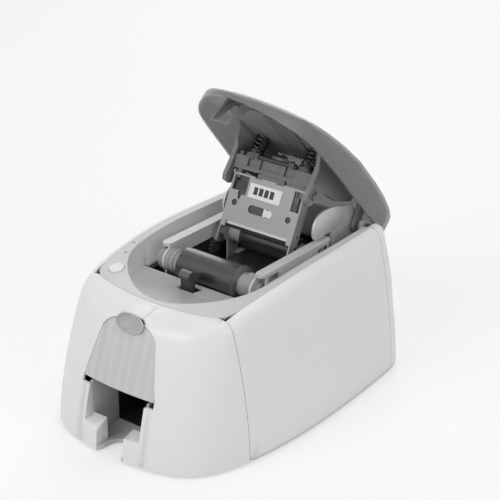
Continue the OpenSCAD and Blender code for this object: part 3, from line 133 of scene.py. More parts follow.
class Groups:
    """Shader node groups that more than one finish uses."""

    drift_in_rough = 0.35
    worn_from = 0.52
    worn_full = 0.6

    def __init__(self) -> None:
        """Builds every group once."""
        self.grain = self._grain()
        self.lines = self._lines()
        self.wear = self._wear()

    @staticmethod
    def _sockets(
        name: str, inputs: list[tuple[str, float]], outputs: list[tuple[str, str]]
    ) -> bpy.types.ShaderNodeTree:
        """Makes an empty group with its sockets.

        Args:
            name: Name of the group.
            inputs: Name and default of each float input; a Vector input is always first.
            outputs: Name and socket type of each output.

        Returns:
            The new node tree.
        """
        tree = bpy.data.node_groups.new(name, "ShaderNodeTree")
        tree.interface.new_socket("Vector", in_out="INPUT", socket_type="NodeSocketVector")
        for label, default in inputs:
            socket = tree.interface.new_socket(label, in_out="INPUT", socket_type="NodeSocketFloat")
            socket.default_value = default
        for label, kind in outputs:
            tree.interface.new_socket(label, in_out="OUTPUT", socket_type=kind)
        tree.nodes.new("NodeGroupInput")
        tree.nodes.new("NodeGroupOutput")
        return tree

    def _grain(self) -> bpy.types.ShaderNodeTree:
        """Builds the moulding texture: a fine height and a slow drift of tone.

        Returns:
            A group that puts out Height, Tone and Rough.
        """
        tree = self._sockets(
            "moulded_grain",
            [("Scale", 1800.0), ("Drift", 14.0)],
            [("Height", "NodeSocketFloat"), ("Tone", "NodeSocketFloat"), ("Rough", "NodeSocketFloat")],
        )
        nodes, links = tree.nodes, tree.links
        inp, out = nodes["Group Input"], nodes["Group Output"]
        fine = nodes.new("ShaderNodeTexNoise")
        fine.inputs["Detail"].default_value = 3.0
        slow = nodes.new("ShaderNodeTexNoise")
        slow.inputs["Detail"].default_value = 2.0
        links.new(inp.outputs["Vector"], fine.inputs["Vector"])
        links.new(inp.outputs["Scale"], fine.inputs["Scale"])
        links.new(inp.outputs["Vector"], slow.inputs["Vector"])
        links.new(inp.outputs["Drift"], slow.inputs["Scale"])
        mix = math_node(nodes, "MULTIPLY_ADD", self.drift_in_rough)
        links.new(slow.outputs["Fac"], mix.inputs[0])
        links.new(fine.outputs["Fac"], mix.inputs[2])
        links.new(fine.outputs["Fac"], out.inputs["Height"])
        links.new(slow.outputs["Fac"], out.inputs["Tone"])
        links.new(mix.outputs[0], out.inputs["Rough"])
        return tree

    def _lines(self) -> bpy.types.ShaderNodeTree:
        """Builds the fine lines of rolled or turned metal.

        Returns:
            A group that puts out Height and Tone.
        """
        tree = self._sockets(
            "metal_lines",
            [("Scale", 260.0), ("Stretch", 14.0)],
            [("Height", "NodeSocketFloat"), ("Tone", "NodeSocketFloat")],
        )
        nodes, links = tree.nodes, tree.links
        inp, out = nodes["Group Input"], nodes["Group Output"]
        parts = nodes.new("ShaderNodeSeparateXYZ")
        longer = math_node(nodes, "MULTIPLY")
        joined = nodes.new("ShaderNodeCombineXYZ")
        streaks = nodes.new("ShaderNodeTexNoise")
        streaks.inputs["Detail"].default_value = 4.0
        links.new(inp.outputs["Vector"], parts.inputs[0])
        links.new(parts.outputs["Z"], longer.inputs[0])
        links.new(inp.outputs["Stretch"], longer.inputs[1])
        links.new(parts.outputs["X"], joined.inputs["X"])
        links.new(parts.outputs["Y"], joined.inputs["Y"])
        links.new(longer.outputs[0], joined.inputs["Z"])
        links.new(joined.outputs[0], streaks.inputs["Vector"])
        links.new(inp.outputs["Scale"], streaks.inputs["Scale"])
        links.new(streaks.outputs["Fac"], out.inputs["Height"])
        links.new(streaks.outputs["Fac"], out.inputs["Tone"])
        return tree

    def _wear(self) -> bpy.types.ShaderNodeTree:
        """Builds a light mask along convex edges.

        Returns:
            A group that puts out Mask, 1 on worn edges.
        """
        tree = self._sockets("edge_wear", [("Break Up", 90.0)], [("Mask", "NodeSocketFloat")])
        nodes, links = tree.nodes, tree.links
        inp, out = nodes["Group Input"], nodes["Group Output"]
        geometry = nodes.new("ShaderNodeNewGeometry")
        ramp = nodes.new("ShaderNodeValToRGB")
        ramp.color_ramp.elements[0].position = self.worn_from
        ramp.color_ramp.elements[1].position = self.worn_full
        noise = nodes.new("ShaderNodeTexNoise")
        product = math_node(nodes, "MULTIPLY")
        links.new(geometry.outputs["Pointiness"], ramp.inputs["Fac"])
        links.new(inp.outputs["Vector"], noise.inputs["Vector"])
        links.new(inp.outputs["Break Up"], noise.inputs["Scale"])
        links.new(ramp.outputs["Color"], product.inputs[0])
        links.new(noise.outputs["Fac"], product.inputs[1])
        links.new(product.outputs[0], out.inputs["Mask"])
        return tree


@dataclass(frozen=True)
class Finish:
    """One finish: a colour with its texture, made into a material."""

    coat_roughness: ClassVar[float] = 0.12
    grain_depth: ClassVar[float] = 0.0002
    flute_depth: ClassVar[float] = 0.0016
    flute_strength: ClassVar[float] = 0.8
    tone_band: ClassVar[tuple[float, float]] = (0.3, 0.7)
    rough_spread: ClassVar[float] = 0.07
    least_rough: ClassVar[float] = 0.02
    worn_gain: ClassVar[float] = 1.6
    worn_lift: ClassVar[float] = 0.05

    name: str
    color: tuple[float, float, float]
    surface: Surface = Surface.MOULDED
    roughness: float = 0.45
    metallic: float = 0.0
    tone: float = 0.03
    bump: float = 0.06
    scale: float = 1500.0
    coat: float = 0.0
    alpha: float = 1.0
    worn: float = 0.0
    flute: float = 0.0

    @property
    def lined(self) -> bool:
        """Whether the surface shows the fine lines of metal."""
        return self.surface in (Surface.BRUSHED, Surface.TURNED)

    def build(self, groups: Groups) -> bpy.types.Material:
        """Makes the material.

        Args:
            groups: The shared shader groups.

        Returns:
            The material.
        """
        material = bpy.data.materials.new(self.name)
        material.use_nodes = True
        nodes, links = material.node_tree.nodes, material.node_tree.links
        shader = nodes["Principled BSDF"]
        shader.inputs["Metallic"].default_value = self.metallic
        if self.coat:
            shader.inputs["Coat Weight"].default_value = self.coat
            shader.inputs["Coat Roughness"].default_value = self.coat_roughness
        if self.alpha < 1.0:
            shader.inputs["Alpha"].default_value = self.alpha
        where = nodes.new("ShaderNodeTexCoord")
        texture = nodes.new("ShaderNodeGroup")
        texture.node_tree = groups.lines if self.lined else groups.grain
        links.new(where.outputs["Object"], texture.inputs["Vector"])
        texture.inputs["Scale"].default_value = self.scale
        color = self._ramp(nodes, links, texture.outputs["Tone"])
        if self.worn > 0.0:
            color = self._worn(groups, nodes, links, where, color)
        links.new(color, shader.inputs["Base Color"])
        self._roughness(nodes, links, texture, shader)
        bump = nodes.new("ShaderNodeBump")
        bump.inputs["Strength"].default_value = self.bump
        bump.inputs["Distance"].default_value = self.grain_depth
        links.new(texture.outputs["Height"], bump.inputs["Height"])
        links.new(bump.outputs["Normal"], shader.inputs["Normal"])
        if self.surface is Surface.FLUTED:
            self._flutes(nodes, links, where, bump)
        return material

    def _flutes(
        self,
        nodes: bpy.types.Nodes,
        links: bpy.types.NodeLinks,
        where: bpy.types.ShaderNode,
        bump: bpy.types.ShaderNode,
    ) -> None:
        """Adds soft upright flutes under the fine bump.

        Args:
            nodes: The material's nodes.
            links: The material's links.
            where: The texture coordinate node.
            bump: The Bump node of the fine texture.
        """
        parts = nodes.new("ShaderNodeSeparateXYZ")
        links.new(where.outputs["Object"], parts.inputs[0])
        phase = math_node(nodes, "MULTIPLY", 2 * math.pi / self.flute)
        links.new(parts.outputs["X"], phase.inputs[0])
        wave = math_node(nodes, "COSINE")
        links.new(phase.outputs[0], wave.inputs[0])
        deep = nodes.new("ShaderNodeBump")
        deep.inputs["Strength"].default_value = self.flute_strength
        deep.inputs["Distance"].default_value = self.flute_depth
        links.new(wave.outputs[0], deep.inputs["Height"])
        links.new(deep.outputs["Normal"], bump.inputs["Normal"])

    def _ramp(
        self, nodes: bpy.types.Nodes, links: bpy.types.NodeLinks, tone: bpy.types.NodeSocket
    ) -> bpy.types.NodeSocket:
        """Spreads the colour a little darker and lighter with the tone.

        Args:
            nodes: The material's nodes.
            links: The material's links.
            tone: The texture's Tone output.

        Returns:
            The colour output.
        """
        ramp = nodes.new("ShaderNodeValToRGB")
        low, high = ramp.color_ramp.elements
        low.position, high.position = self.tone_band
        low.color = (*[max(0.0, c * (1.0 - self.tone)) for c in self.color], 1.0)
        high.color = (*[min(1.0, c * (1.0 + self.tone)) for c in self.color], 1.0)
        links.new(tone, ramp.inputs["Fac"])
        return ramp.outputs["Color"]

    def _worn(
        self,
        groups: Groups,
        nodes: bpy.types.Nodes,
        links: bpy.types.NodeLinks,
        where: bpy.types.ShaderNode,
        color: bpy.types.NodeSocket,
    ) -> bpy.types.NodeSocket:
        """Lightens the colour along rubbed edges.

        Args:
            groups: The shared shader groups.
            nodes: The material's nodes.
            links: The material's links.
            where: The texture coordinate node.
            color: The colour to lighten.

        Returns:
            The lightened colour output.
        """
        wear = nodes.new("ShaderNodeGroup")
        wear.node_tree = groups.wear
        links.new(where.outputs["Object"], wear.inputs["Vector"])
        share = math_node(nodes, "MULTIPLY", self.worn)
        links.new(wear.outputs["Mask"], share.inputs[0])
        mix = nodes.new("ShaderNodeMix")
        mix.data_type = "RGBA"
        links.new(share.outputs[0], mix.inputs["Factor"])
        links.new(color, mix.inputs["A"])
        rubbed = [min(1.0, c * self.worn_gain + self.worn_lift) for c in self.color]
        mix.inputs["B"].default_value = (*rubbed, 1.0)
        return mix.outputs["Result"]

    def _roughness(
        self,
        nodes: bpy.types.Nodes,
        links: bpy.types.NodeLinks,
        texture: bpy.types.ShaderNode,
        shader: bpy.types.ShaderNode,
    ) -> None:
        """Varies the roughness with the texture.

        Args:
            nodes: The material's nodes.
            links: The material's links.
            texture: The texture group node.
            shader: The Principled node.
        """
        spread = nodes.new("ShaderNodeMapRange")
        spread.inputs["To Min"].default_value = max(self.least_rough, self.roughness - self.rough_spread)
        spread.inputs["To Max"].default_value = min(1.0, self.roughness + self.rough_spread)
        links.new(texture.outputs["Tone" if self.lined else "Rough"], spread.inputs["Value"])
        links.new(spread.outputs["Result"], shader.inputs["Roughness"])


@dataclass(frozen=True)
class Palette:
    """Every finish of the printer."""

    cover: Finish = Finish("cover_white", (0.74, 0.745, 0.745), roughness=0.34, tone=0.012, bump=0.05)
    pan: Finish = Finish("pan_grey", (0.60, 0.61, 0.61), roughness=0.5, tone=0.02)
    deck: Finish = Finish("deck_grey", (0.56, 0.565, 0.56), roughness=0.42, tone=0.015)
    door: Finish = Finish(
        "door_pearl", (0.55, 0.56, 0.56), Surface.FLUTED,
        roughness=0.24, tone=0.02, bump=0.02, coat=0.25, flute=0.019,
    )
    lid: Finish = Finish(
        "lid_smoke", (0.20, 0.20, 0.198), Surface.POLISHED,
        roughness=0.26, tone=0.05, bump=0.02, coat=0.3, alpha=0.66,
    )
    lid_frame: Finish = Finish("lid_frame_grey", (0.19, 0.19, 0.19), roughness=0.5, tone=0.04, worn=0.2)
    bar: Finish = Finish("bar_grey", (0.14, 0.14, 0.14), roughness=0.45, tone=0.04, worn=0.25)
    sheet: Finish = Finish(
        "zinc_sheet", (0.30, 0.30, 0.30), Surface.BRUSHED,
        roughness=0.42, metallic=0.35, tone=0.05, scale=220.0,
    )
    bracket: Finish = Finish(
        "bracket_sheet", (0.62, 0.62, 0.62), Surface.BRUSHED,
        roughness=0.45, metallic=0.25, tone=0.04, scale=220.0,
    )
    steel: Finish = Finish(
        "turned_steel", (0.32, 0.32, 0.33), Surface.TURNED,
        roughness=0.3, metallic=0.9, tone=0.06, scale=420.0,
    )
    spring: Finish = Finish(
        "black_spring_wire", (0.025, 0.025, 0.027), Surface.TURNED,
        roughness=0.35, metallic=0.4, tone=0.1, scale=500.0,
    )
    alloy: Finish = Finish(
        "head_alloy", (0.38, 0.38, 0.39), Surface.BRUSHED,
        roughness=0.38, metallic=0.8, tone=0.06, scale=300.0,
    )
    sink: Finish = Finish(
        "black_anodised_alloy", (0.05, 0.05, 0.052), Surface.BRUSHED,
        roughness=0.4, metallic=0.3, tone=0.08, scale=300.0,
    )
    dark: Finish = Finish("frame_black", (0.022, 0.022, 0.023), roughness=0.5, tone=0.1, worn=0.15)
    latch: Finish = Finish("latch_dark", (0.05, 0.05, 0.05), roughness=0.4, tone=0.08, worn=0.3)
    pale: Finish = Finish("cassette_pale", (0.58, 0.59, 0.58), roughness=0.42, tone=0.02)
    tray: Finish = Finish("tray_black", (0.018, 0.018, 0.019), roughness=0.55, tone=0.1)
    film: Finish = Finish(
        "ribbon_film", (0.026, 0.026, 0.027), Surface.POLISHED,
        roughness=0.3, tone=0.05, bump=0.01, scale=700.0, coat=0.4,
    )
    rubber: Finish = Finish(
        "roller_rubber", (0.03, 0.03, 0.03), Surface.SOFT,
        roughness=0.7, tone=0.12, bump=0.12, scale=1100.0,
    )
    label: Finish = Finish(
        "label_white", (0.84, 0.84, 0.83), Surface.PRINTED, roughness=0.5, tone=0.01, bump=0.02,
    )
    # Painted shade: the scoop's bowl is a darker grey than the cover round it, standing in for the shade in
    # the hollow.
    scoop: Finish = Finish("scoop_painted_shade_grey", (0.44, 0.445, 0.44), roughness=0.4, tone=0.015)
    # Painted shade: the near-black colour for the faces inside the seams between the covers.
    seam: Finish = Finish("seam_shadow_grey", (0.10, 0.10, 0.10), roughness=0.7, tone=0.03)
    dusk: Finish = Finish("spool_flange_grey", (0.06, 0.06, 0.06), roughness=0.35, tone=0.05)
    collar: Finish = Finish("spool_collar_grey", (0.36, 0.36, 0.355), roughness=0.4, tone=0.03)
    ink: Finish = Finish(
        "label_ink", (0.02, 0.02, 0.02), Surface.PRINTED, roughness=0.5, tone=0.05, bump=0.02,
    )
    board: Finish = Finish(
        "board_green", (0.02, 0.10, 0.05), Surface.PRINTED, roughness=0.35, tone=0.1, coat=0.3,
    )
    gear: Finish = Finish("gear_acetal", (0.09, 0.09, 0.088), roughness=0.35, tone=0.02)
    brass: Finish = Finish(
        "pinion_brass", (0.48, 0.34, 0.12), Surface.TURNED,
        roughness=0.3, metallic=0.9, tone=0.06, scale=420.0,
    )
    lens: Finish = Finish(
        "light_lens", (0.30, 0.34, 0.32), Surface.POLISHED,
        roughness=0.2, tone=0.03, bump=0.02, coat=0.4,
    )


NODE_FINISH: dict[str, str] = {
    "base_pan": "pan", "rubber_feet": "rubber", "front_cover": "cover", "left_side_cover": "cover",
    "right_side_cover": "cover", "rear_cover": "cover", "top_deck": "deck", "control_button": "cover",
    "indicator_lights": "lens", "feeder_door": "door", "door_pivots": "steel", "bay_sleeve": "pale",
    "output_tray": "tray", "card_feeder": "pale", "latch_hook": "latch", "latch_spring": "spring",
    "lid_shell": "lid", "lid_inner_frame": "lid_frame", "lid_catch": "lid_frame",
    "hinge_brackets": "bracket",
    "hinge_pins": "steel", "head_mount_bar": "bar", "head_carrier": "sheet", "print_head": "alloy",
    "heat_sink": "sink", "head_springs": "spring", "head_cross_rod": "latch", "head_label": "label",
    "head_flat_cable": "lid_frame", "cassette_left_rail": "pale", "cassette_right_rail": "pale",
    "cassette_cross_bars": "pale", "supply_core": "collar", "supply_film": "film", "supply_discs": "pale",
    "takeup_core": "pale", "takeup_film": "film", "ribbon_web": "film", "mechanism_frame": "dark",
    "platen_roller": "rubber", "platen_gear": "gear", "feed_roller": "rubber", "pick_roller": "rubber",
    "drive_belts": "rubber", "drive_motor": "steel", "motor_pinion": "brass", "ribbon_motor": "steel",
    "ribbon_pinion": "gear", "main_board": "board", "usb_socket": "steel", "power_socket": "dark",
    "cover_screws": "steel",
}


class Workshop:
    """Keeps the frame, the materials and the ways that pieces are made."""

    def __init__(self, frame: dict) -> None:
        """Builds the materials.
        """
        self.frame = frame
        groups = Groups()
        palette = Palette()
        self.materials: dict[str, bpy.types.Material] = {
            key: getattr(palette, key).build(groups) for key in Palette.__dataclass_fields__
        }
        self.slot_of: dict[str, str] = {
            s["node"]: s["material_slot"] for s in frame["record"]["subparts"]
        }
        self.body_of: dict[str, str] = {
            node: body for body, nodes in frame["record"]["behaviour"]["bodies"].items() for node in nodes
        }

    @staticmethod
    def deselect() -> None:
        """Leaves edit mode and deselects everything."""
        if bpy.context.object and bpy.context.object.mode != "OBJECT":
            bpy.ops.object.mode_set(mode="OBJECT")
        bpy.ops.object.select_all(action="DESELECT")

    def activate(self, obj: bpy.types.Object) -> None:
        """Selects one object and makes it active.

        Args:
            obj: The object.
        """
        self.deselect()
        obj.select_set(True)
        bpy.context.view_layer.objects.active = obj

    @staticmethod
    def dress(obj: bpy.types.Object, material: bpy.types.Material) -> None:
        """Gives an object one material.

        Args:
            obj: The object.
            material: Its material.
        """
        obj.data.materials.clear()
        obj.data.materials.append(material)

    def apply_modifiers(self, obj: bpy.types.Object) -> None:
        """Applies every modifier of an object.

        Args:
            obj: The object.
        """
        self.activate(obj)
        for modifier in list(obj.modifiers):
            bpy.ops.object.modifier_apply(modifier=modifier.name)

    def smooth_copy(self, node: str) -> bpy.types.Object:
        """Makes a merged, smooth-shaded copy of a node, which stands for it.

        Args:
            node: Name of the node.

        Returns:
            The new piece.
        """
        piece = bpy.data.objects.new(f"{node}_skin", self.frame["nodes"][node].data.copy())
        piece.data.name = piece.name
        bpy.context.scene.collection.objects.link(piece)
        self.activate(piece)
        bpy.ops.object.mode_set(mode="EDIT")
        bpy.ops.mesh.select_all(action="SELECT")
        bpy.ops.mesh.remove_doubles(threshold=MERGE_M)
        bpy.ops.object.mode_set(mode="OBJECT")
        bpy.ops.object.shade_smooth_by_angle(angle=SKIN_ANGLE)
        self.ride(piece, self.body_of[node], self.slot_of[node])
        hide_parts(node)
        return piece

    @staticmethod
    def ride(piece: bpy.types.Object, body: str, slot: str) -> None:
        """Fixes a piece to a body.

        Args:
            piece: The piece.
            body: Name of the body.
            slot: Name of the record's material slot; not used.
        """
        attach(piece, body)
        LOG.info("%s rides on %s", piece.name, body)

    def round_edges(
        self, piece: bpy.types.Object, radius: float, segments: int, limit: float | None = None
    ) -> None:
        """Rounds the edges of a modelled piece and shades it.

        Args:
            piece: The piece.
            radius: Radius of its edges in millimetres.
            segments: How many steps a rounded edge has.
            limit: Edges flatter than this angle stay as they are; None for the modifier's own limit.
        """
        rounding = piece.modifiers.new("edge_radius", "BEVEL")
        rounding.width = radius * MM
        rounding.segments = segments
        if limit is not None:
            rounding.limit_method = "ANGLE"
            rounding.angle_limit = limit
        self.apply_modifiers(piece)
        bpy.ops.object.shade_smooth_by_angle(angle=BLOCK_ANGLE)

    def block(self, name: str, size: tuple[float, float, float], radius: float) -> bpy.types.Object:
        """Models a rounded block about the origin.

        Args:
            name: Name of the piece.
            size: Width, depth and height in millimetres.
            radius: Radius of its edges in millimetres.

        Returns:
            The piece.
        """
        self.deselect()
        bpy.ops.mesh.primitive_cube_add(size=1.0, location=ORIGIN)
        piece = bpy.context.object
        piece.name = piece.data.name = name
        bpy.ops.object.mode_set(mode="EDIT")
        bpy.ops.mesh.select_all(action="SELECT")
        bpy.ops.transform.resize(value=tuple(v * MM for v in size), center_override=ORIGIN)
        bpy.ops.object.mode_set(mode="OBJECT")
        self.round_edges(piece, radius, segments=3)
        return piece

    def plate(
        self, name: str, outline: tuple[tuple[float, float], ...], sides: tuple[float, float], radius: float
    ) -> bpy.types.Object:
        """Models a flat plate from an outline of depths and heights.

        Args:
            name: Name of the piece.
            outline: Depth and height of each corner in millimetres.
            sides: Place across of its two faces in millimetres.
            radius: Radius of its edges in millimetres.

        Returns:
            The piece.
        """
        self.deselect()
        corners = len(outline)
        bpy.ops.mesh.primitive_circle_add(vertices=corners, radius=MM, fill_type="NGON", location=ORIGIN)
        piece = bpy.context.object
        piece.name = piece.data.name = name
        for vertex, (depth, height) in zip(piece.data.vertices, outline):
            vertex.co = (sides[0] * MM, depth * MM, height * MM)
        bpy.ops.object.mode_set(mode="EDIT")
        bpy.ops.mesh.select_all(action="SELECT")
        across = ((sides[1] - sides[0]) * MM, 0.0, 0.0)
        bpy.ops.mesh.extrude_region_move(TRANSFORM_OT_translate={"value": across})
        bpy.ops.mesh.select_all(action="SELECT")
        bpy.ops.mesh.normals_make_consistent(inside=False)
        bpy.ops.object.mode_set(mode="OBJECT")
        self.round_edges(piece, radius, segments=2, limit=BEVEL_ANGLE)
        return piece

    def join(self, piece: bpy.types.Object, others: list[bpy.types.Object]) -> None:
        """Joins other pieces into one.

        Args:
            piece: The piece that stays.
            others: The pieces that go into it.
        """
        self.deselect()
        for other in others:
            other.select_set(True)
        piece.select_set(True)
        bpy.context.view_layer.objects.active = piece
        bpy.ops.object.join()


@dataclass
class HeadPrinting:
    """Plain dark marks in the window of the head's label."""

    plate_from_hinge: tuple[float, float] = (-55.3, -49.2)
    lean: float = 21.3
    first_x: float = -10.6
    pitch: float = 5.7
    mark: tuple[float, float, float] = (4.2, 0.1, 6.6)
    mark_y: float = -0.36
    mark_z: float = 30.6
    mark_edge: float = 0.04
    count: int = 4

    def plate_frame(self) -> Matrix:
        """Finds where the head's own frame stands with the lid open.

        Returns:
            The frame, in metres.
        """
        out, up = (v * MM for v in self.plate_from_hinge)
        lean = Matrix.Rotation(math.radians(self.lean), 4, "X")
        return lid_frame() @ Matrix.Translation((0.0, out, up)) @ lean

    def build(self, shop: Workshop) -> None:
        """Makes the marks.

        Args:
            shop: The workshop.
        """
        where = self.plate_frame()
        pattern = shop.block("label_mark_1", self.mark, self.mark_edge)
        for k in range(self.count):
            piece = pattern if k == 0 else bpy.data.objects.new(f"label_mark_{k + 1}", pattern.data.copy())
            if k:
                bpy.context.scene.collection.objects.link(piece)
                piece.data.transform(Matrix.Translation((self.pitch * k * MM, 0.0, 0.0)))
            shop.dress(piece, shop.materials["ink"])
            shop.ride(piece, "head", "dark_plastic")
        first = Matrix.Translation((self.first_x * MM, self.mark_y * MM, self.mark_z * MM))
        for k in range(self.count):
            mesh = bpy.data.objects[f"label_mark_{k + 1}"].data
            mesh.transform(where @ first)
            mesh.update()


@dataclass
class HeadSink:
    """The head's heat sink, with the plain top that stands behind the carrier's windows."""

    node: str = "heat_sink"
    top: tuple[float, float, float] = (66.2, 1.5, 7.6)
    top_z: float = 31.6
    tab: tuple[float, float, float] = (16.0, 1.5, 5.4)
    tab_x: float = 22.6
    tab_z: float = 37.6
    depth: float = 2.05
    edge: float = 0.15

    def build(self, shop: Workshop, where: Matrix) -> None:
        """Makes the sink's copy with its top.

        Args:
            shop: The workshop.
            where: The head's own frame.
        """
        piece = shop.smooth_copy(self.node)
        added = [shop.block("sink_top", self.top, self.edge)]
        added[0].data.transform(where @ Matrix.Translation((0.0, self.depth * MM, self.top_z * MM)))
        for side in (-1.0, 1.0):
            tab = shop.block("sink_tab", self.tab, self.edge)
            place = Matrix.Translation((side * self.tab_x * MM, self.depth * MM, self.tab_z * MM))
            tab.data.transform(where @ place)
            added.append(tab)
        shop.join(piece, added)
        shop.dress(piece, shop.materials["sink"])


@dataclass
class Brackets:
    """The hinge brackets, with the broad plates that stand beside the head."""

    node: str = "hinge_brackets"
    sides: tuple[float, float] = (46.95, 49.05)
    edge: float = 0.3
    outline: tuple[tuple[float, float], ...] = (
        (-26.0, 5.0), (-55.0, 4.2), (-57.4, 5.6), (-58.6, 8.5), (-58.9, 13.0), (-57.6, 18.0), (-54.6, 22.5),
        (-49.0, 25.6), (-42.0, 26.9), (-34.0, 26.6), (-24.0, 25.0), (-12.0, 20.5), (-14.0, 8.0),
    )

    def build(self, shop: Workshop) -> None:
        """Makes the brackets' copy with its plates.

        Args:
            shop: The workshop.
        """
        y, z = (v / MM for v in hinge_centre()[1:])
        piece = shop.smooth_copy(self.node)
        outline = tuple((y + a, z + b) for a, b in self.outline)
        added = [
            shop.plate("bracket_plate", outline, (side * self.sides[0], side * self.sides[1]), self.edge)
            for side in (-1.0, 1.0)
        ]
        shop.join(piece, added)
        shop.dress(piece, shop.materials["bracket"])


@dataclass
class Covers:
    """The outer shells, redrawn with smooth shading."""

    shells: tuple[str, ...] = (
        "front_cover", "left_side_cover", "right_side_cover", "rear_cover", "top_deck", "feeder_door",
    )
    seam_y: float = -84.0
    seams: tuple[float, ...] = (-84.15, 108.85)
    seam_reach: float = 0.4
    seam_facing: float = 0.98
    corner_x: float = 77.46
    corner_slope: float = 0.8437
    corner_z: float = 108.0
    corner_band: float = 0.1
    corner_slack: float = 0.5
    corner_taper: float = 0.1
    deck_slope: float = 0.27
    scoop: tuple[float, float, float] = (13.2, 5.0, 7.2)
    scoop_at: tuple[float, float, float] = (0.0, -117.4, 108.0)
    scoop_lean: float = 23.0
    scoop_wall: float = 0.8
    brow: tuple[float, float, float] = (21.0, 16.0, 3.0)
    brow_at: tuple[float, float, float] = (0.0, -105.0, 113.8)
    brow_round: float = 1.4
    brow_lean: float = 4.5

    def build(self, shop: Workshop) -> None:
        """Makes each shell's smooth copy.

        Args:
            shop: The workshop.
        """
        for node in self.shells:
            piece = shop.smooth_copy(node)
            shop.dress(piece, shop.materials[NODE_FINISH[node]])
            if node in ("left_side_cover", "right_side_cover"):
                self._close_corner(shop, piece)
            if node.endswith("cover"):
                self._shade_seams(shop, piece)
            if node == "front_cover":
                self._add_scoop(shop, piece)

    def _shade_seams(self, shop: Workshop, piece: bpy.types.Object) -> None:
        """Gives the faces inside the upright seams a near-black colour: painted shade in the gaps between
        the covers.

        Args:
            shop: The workshop.
            piece: The cover's copy.
        """
        # Painted shade: the faces inside each seam that face along the depth get the near-black colour.
        piece.data.materials.append(shop.materials["seam"])
        for face in piece.data.polygons:
            away = min(abs(face.center.y - y * MM) for y in self.seams)
            if abs(face.normal.y) > self.seam_facing and away < self.seam_reach * MM:
                face.material_index = 1

    def _close_corner(self, shop: Workshop, piece: bpy.types.Object) -> None:
        """Brings the upper front corner of a side cover up to the front cover's edge.

        Args:
            shop: The workshop.
            piece: The side cover's copy.
        """
        front = shop.frame["nodes"]["front_cover"].data.vertices
        rear = max(v.co.y for v in front)
        side = 1.0 if sum(v.co.x for v in piece.data.vertices) > 0.0 else -1.0
        edge = [v.co / MM for v in front if rear - v.co.y < self.corner_band * MM and v.co.x * side > 0.0]
        for vertex in piece.data.vertices:
            x, y, z = vertex.co / MM
            x *= side
            ahead = y - self.seam_y
            outer = x + self.corner_slope * ahead > self.corner_x + self.corner_slack
            if z < self.corner_z or ahead < self.corner_band or outer:
                continue
            goal = Vector((x - self.corner_taper * ahead, z - self.deck_slope * ahead))
            near = min(edge, key=lambda e: (Vector((e.x * side, e.z)) - goal).length)
            vertex.co = Vector((near.x, self.seam_y, near.z)) * MM
        piece.data.update()

    @staticmethod
    def leaning(place: tuple[float, float, float], lean: float) -> Matrix:
        """Finds the frame of a form that leans about the printer's width.

        Args:
            place: Where it stands in millimetres.
            lean: How far it turns in degrees.

        Returns:
            The frame, in metres.
        """
        return Matrix.Translation(Vector(place) * MM) @ Matrix.Rotation(math.radians(lean), 4, "X")

    def _add_scoop(self, shop: Workshop, piece: bpy.types.Object) -> None:
        """Closes the finger scoop above the door with a shallow bowl under a soft brow; the bowl's darker
        grey is painted shade in the hollow.

        Args:
            shop: The workshop.
            piece: The front cover's copy.
        """
        shop.deselect()
        bpy.ops.mesh.primitive_uv_sphere_add(segments=48, ring_count=24, radius=MM, location=ORIGIN)
        bowl = bpy.context.object
        bowl.name = bowl.data.name = "scoop_bowl"
        bpy.ops.object.mode_set(mode="EDIT")
        bpy.ops.mesh.select_all(action="SELECT")
        bpy.ops.mesh.bisect(plane_co=ORIGIN, plane_no=(0.0, 1.0, 0.0), clear_inner=True)
        bpy.ops.mesh.select_all(action="SELECT")
        bpy.ops.transform.resize(value=self.scoop, center_override=ORIGIN)
        bpy.ops.object.mode_set(mode="OBJECT")
        wall = bowl.modifiers.new("bowl_wall", "SOLIDIFY")
        wall.thickness = self.scoop_wall * MM
        wall.offset = 1.0
        shop.apply_modifiers(bowl)
        bpy.ops.object.shade_smooth_by_angle(angle=BLOCK_ANGLE)
        bowl.data.transform(self.leaning(self.scoop_at, -self.scoop_lean))
        # Painted shade: the bowl gets the darker grey of the hollow's shade, not the cover's colour.
        shop.dress(bowl, shop.materials["scoop"])
        brow = shop.block("scoop_brow", self.brow, self.brow_round)
        brow.data.transform(self.leaning(self.brow_at, self.brow_lean))
        shop.dress(brow, shop.materials["cover"])
        shop.join(piece, [bowl, brow])


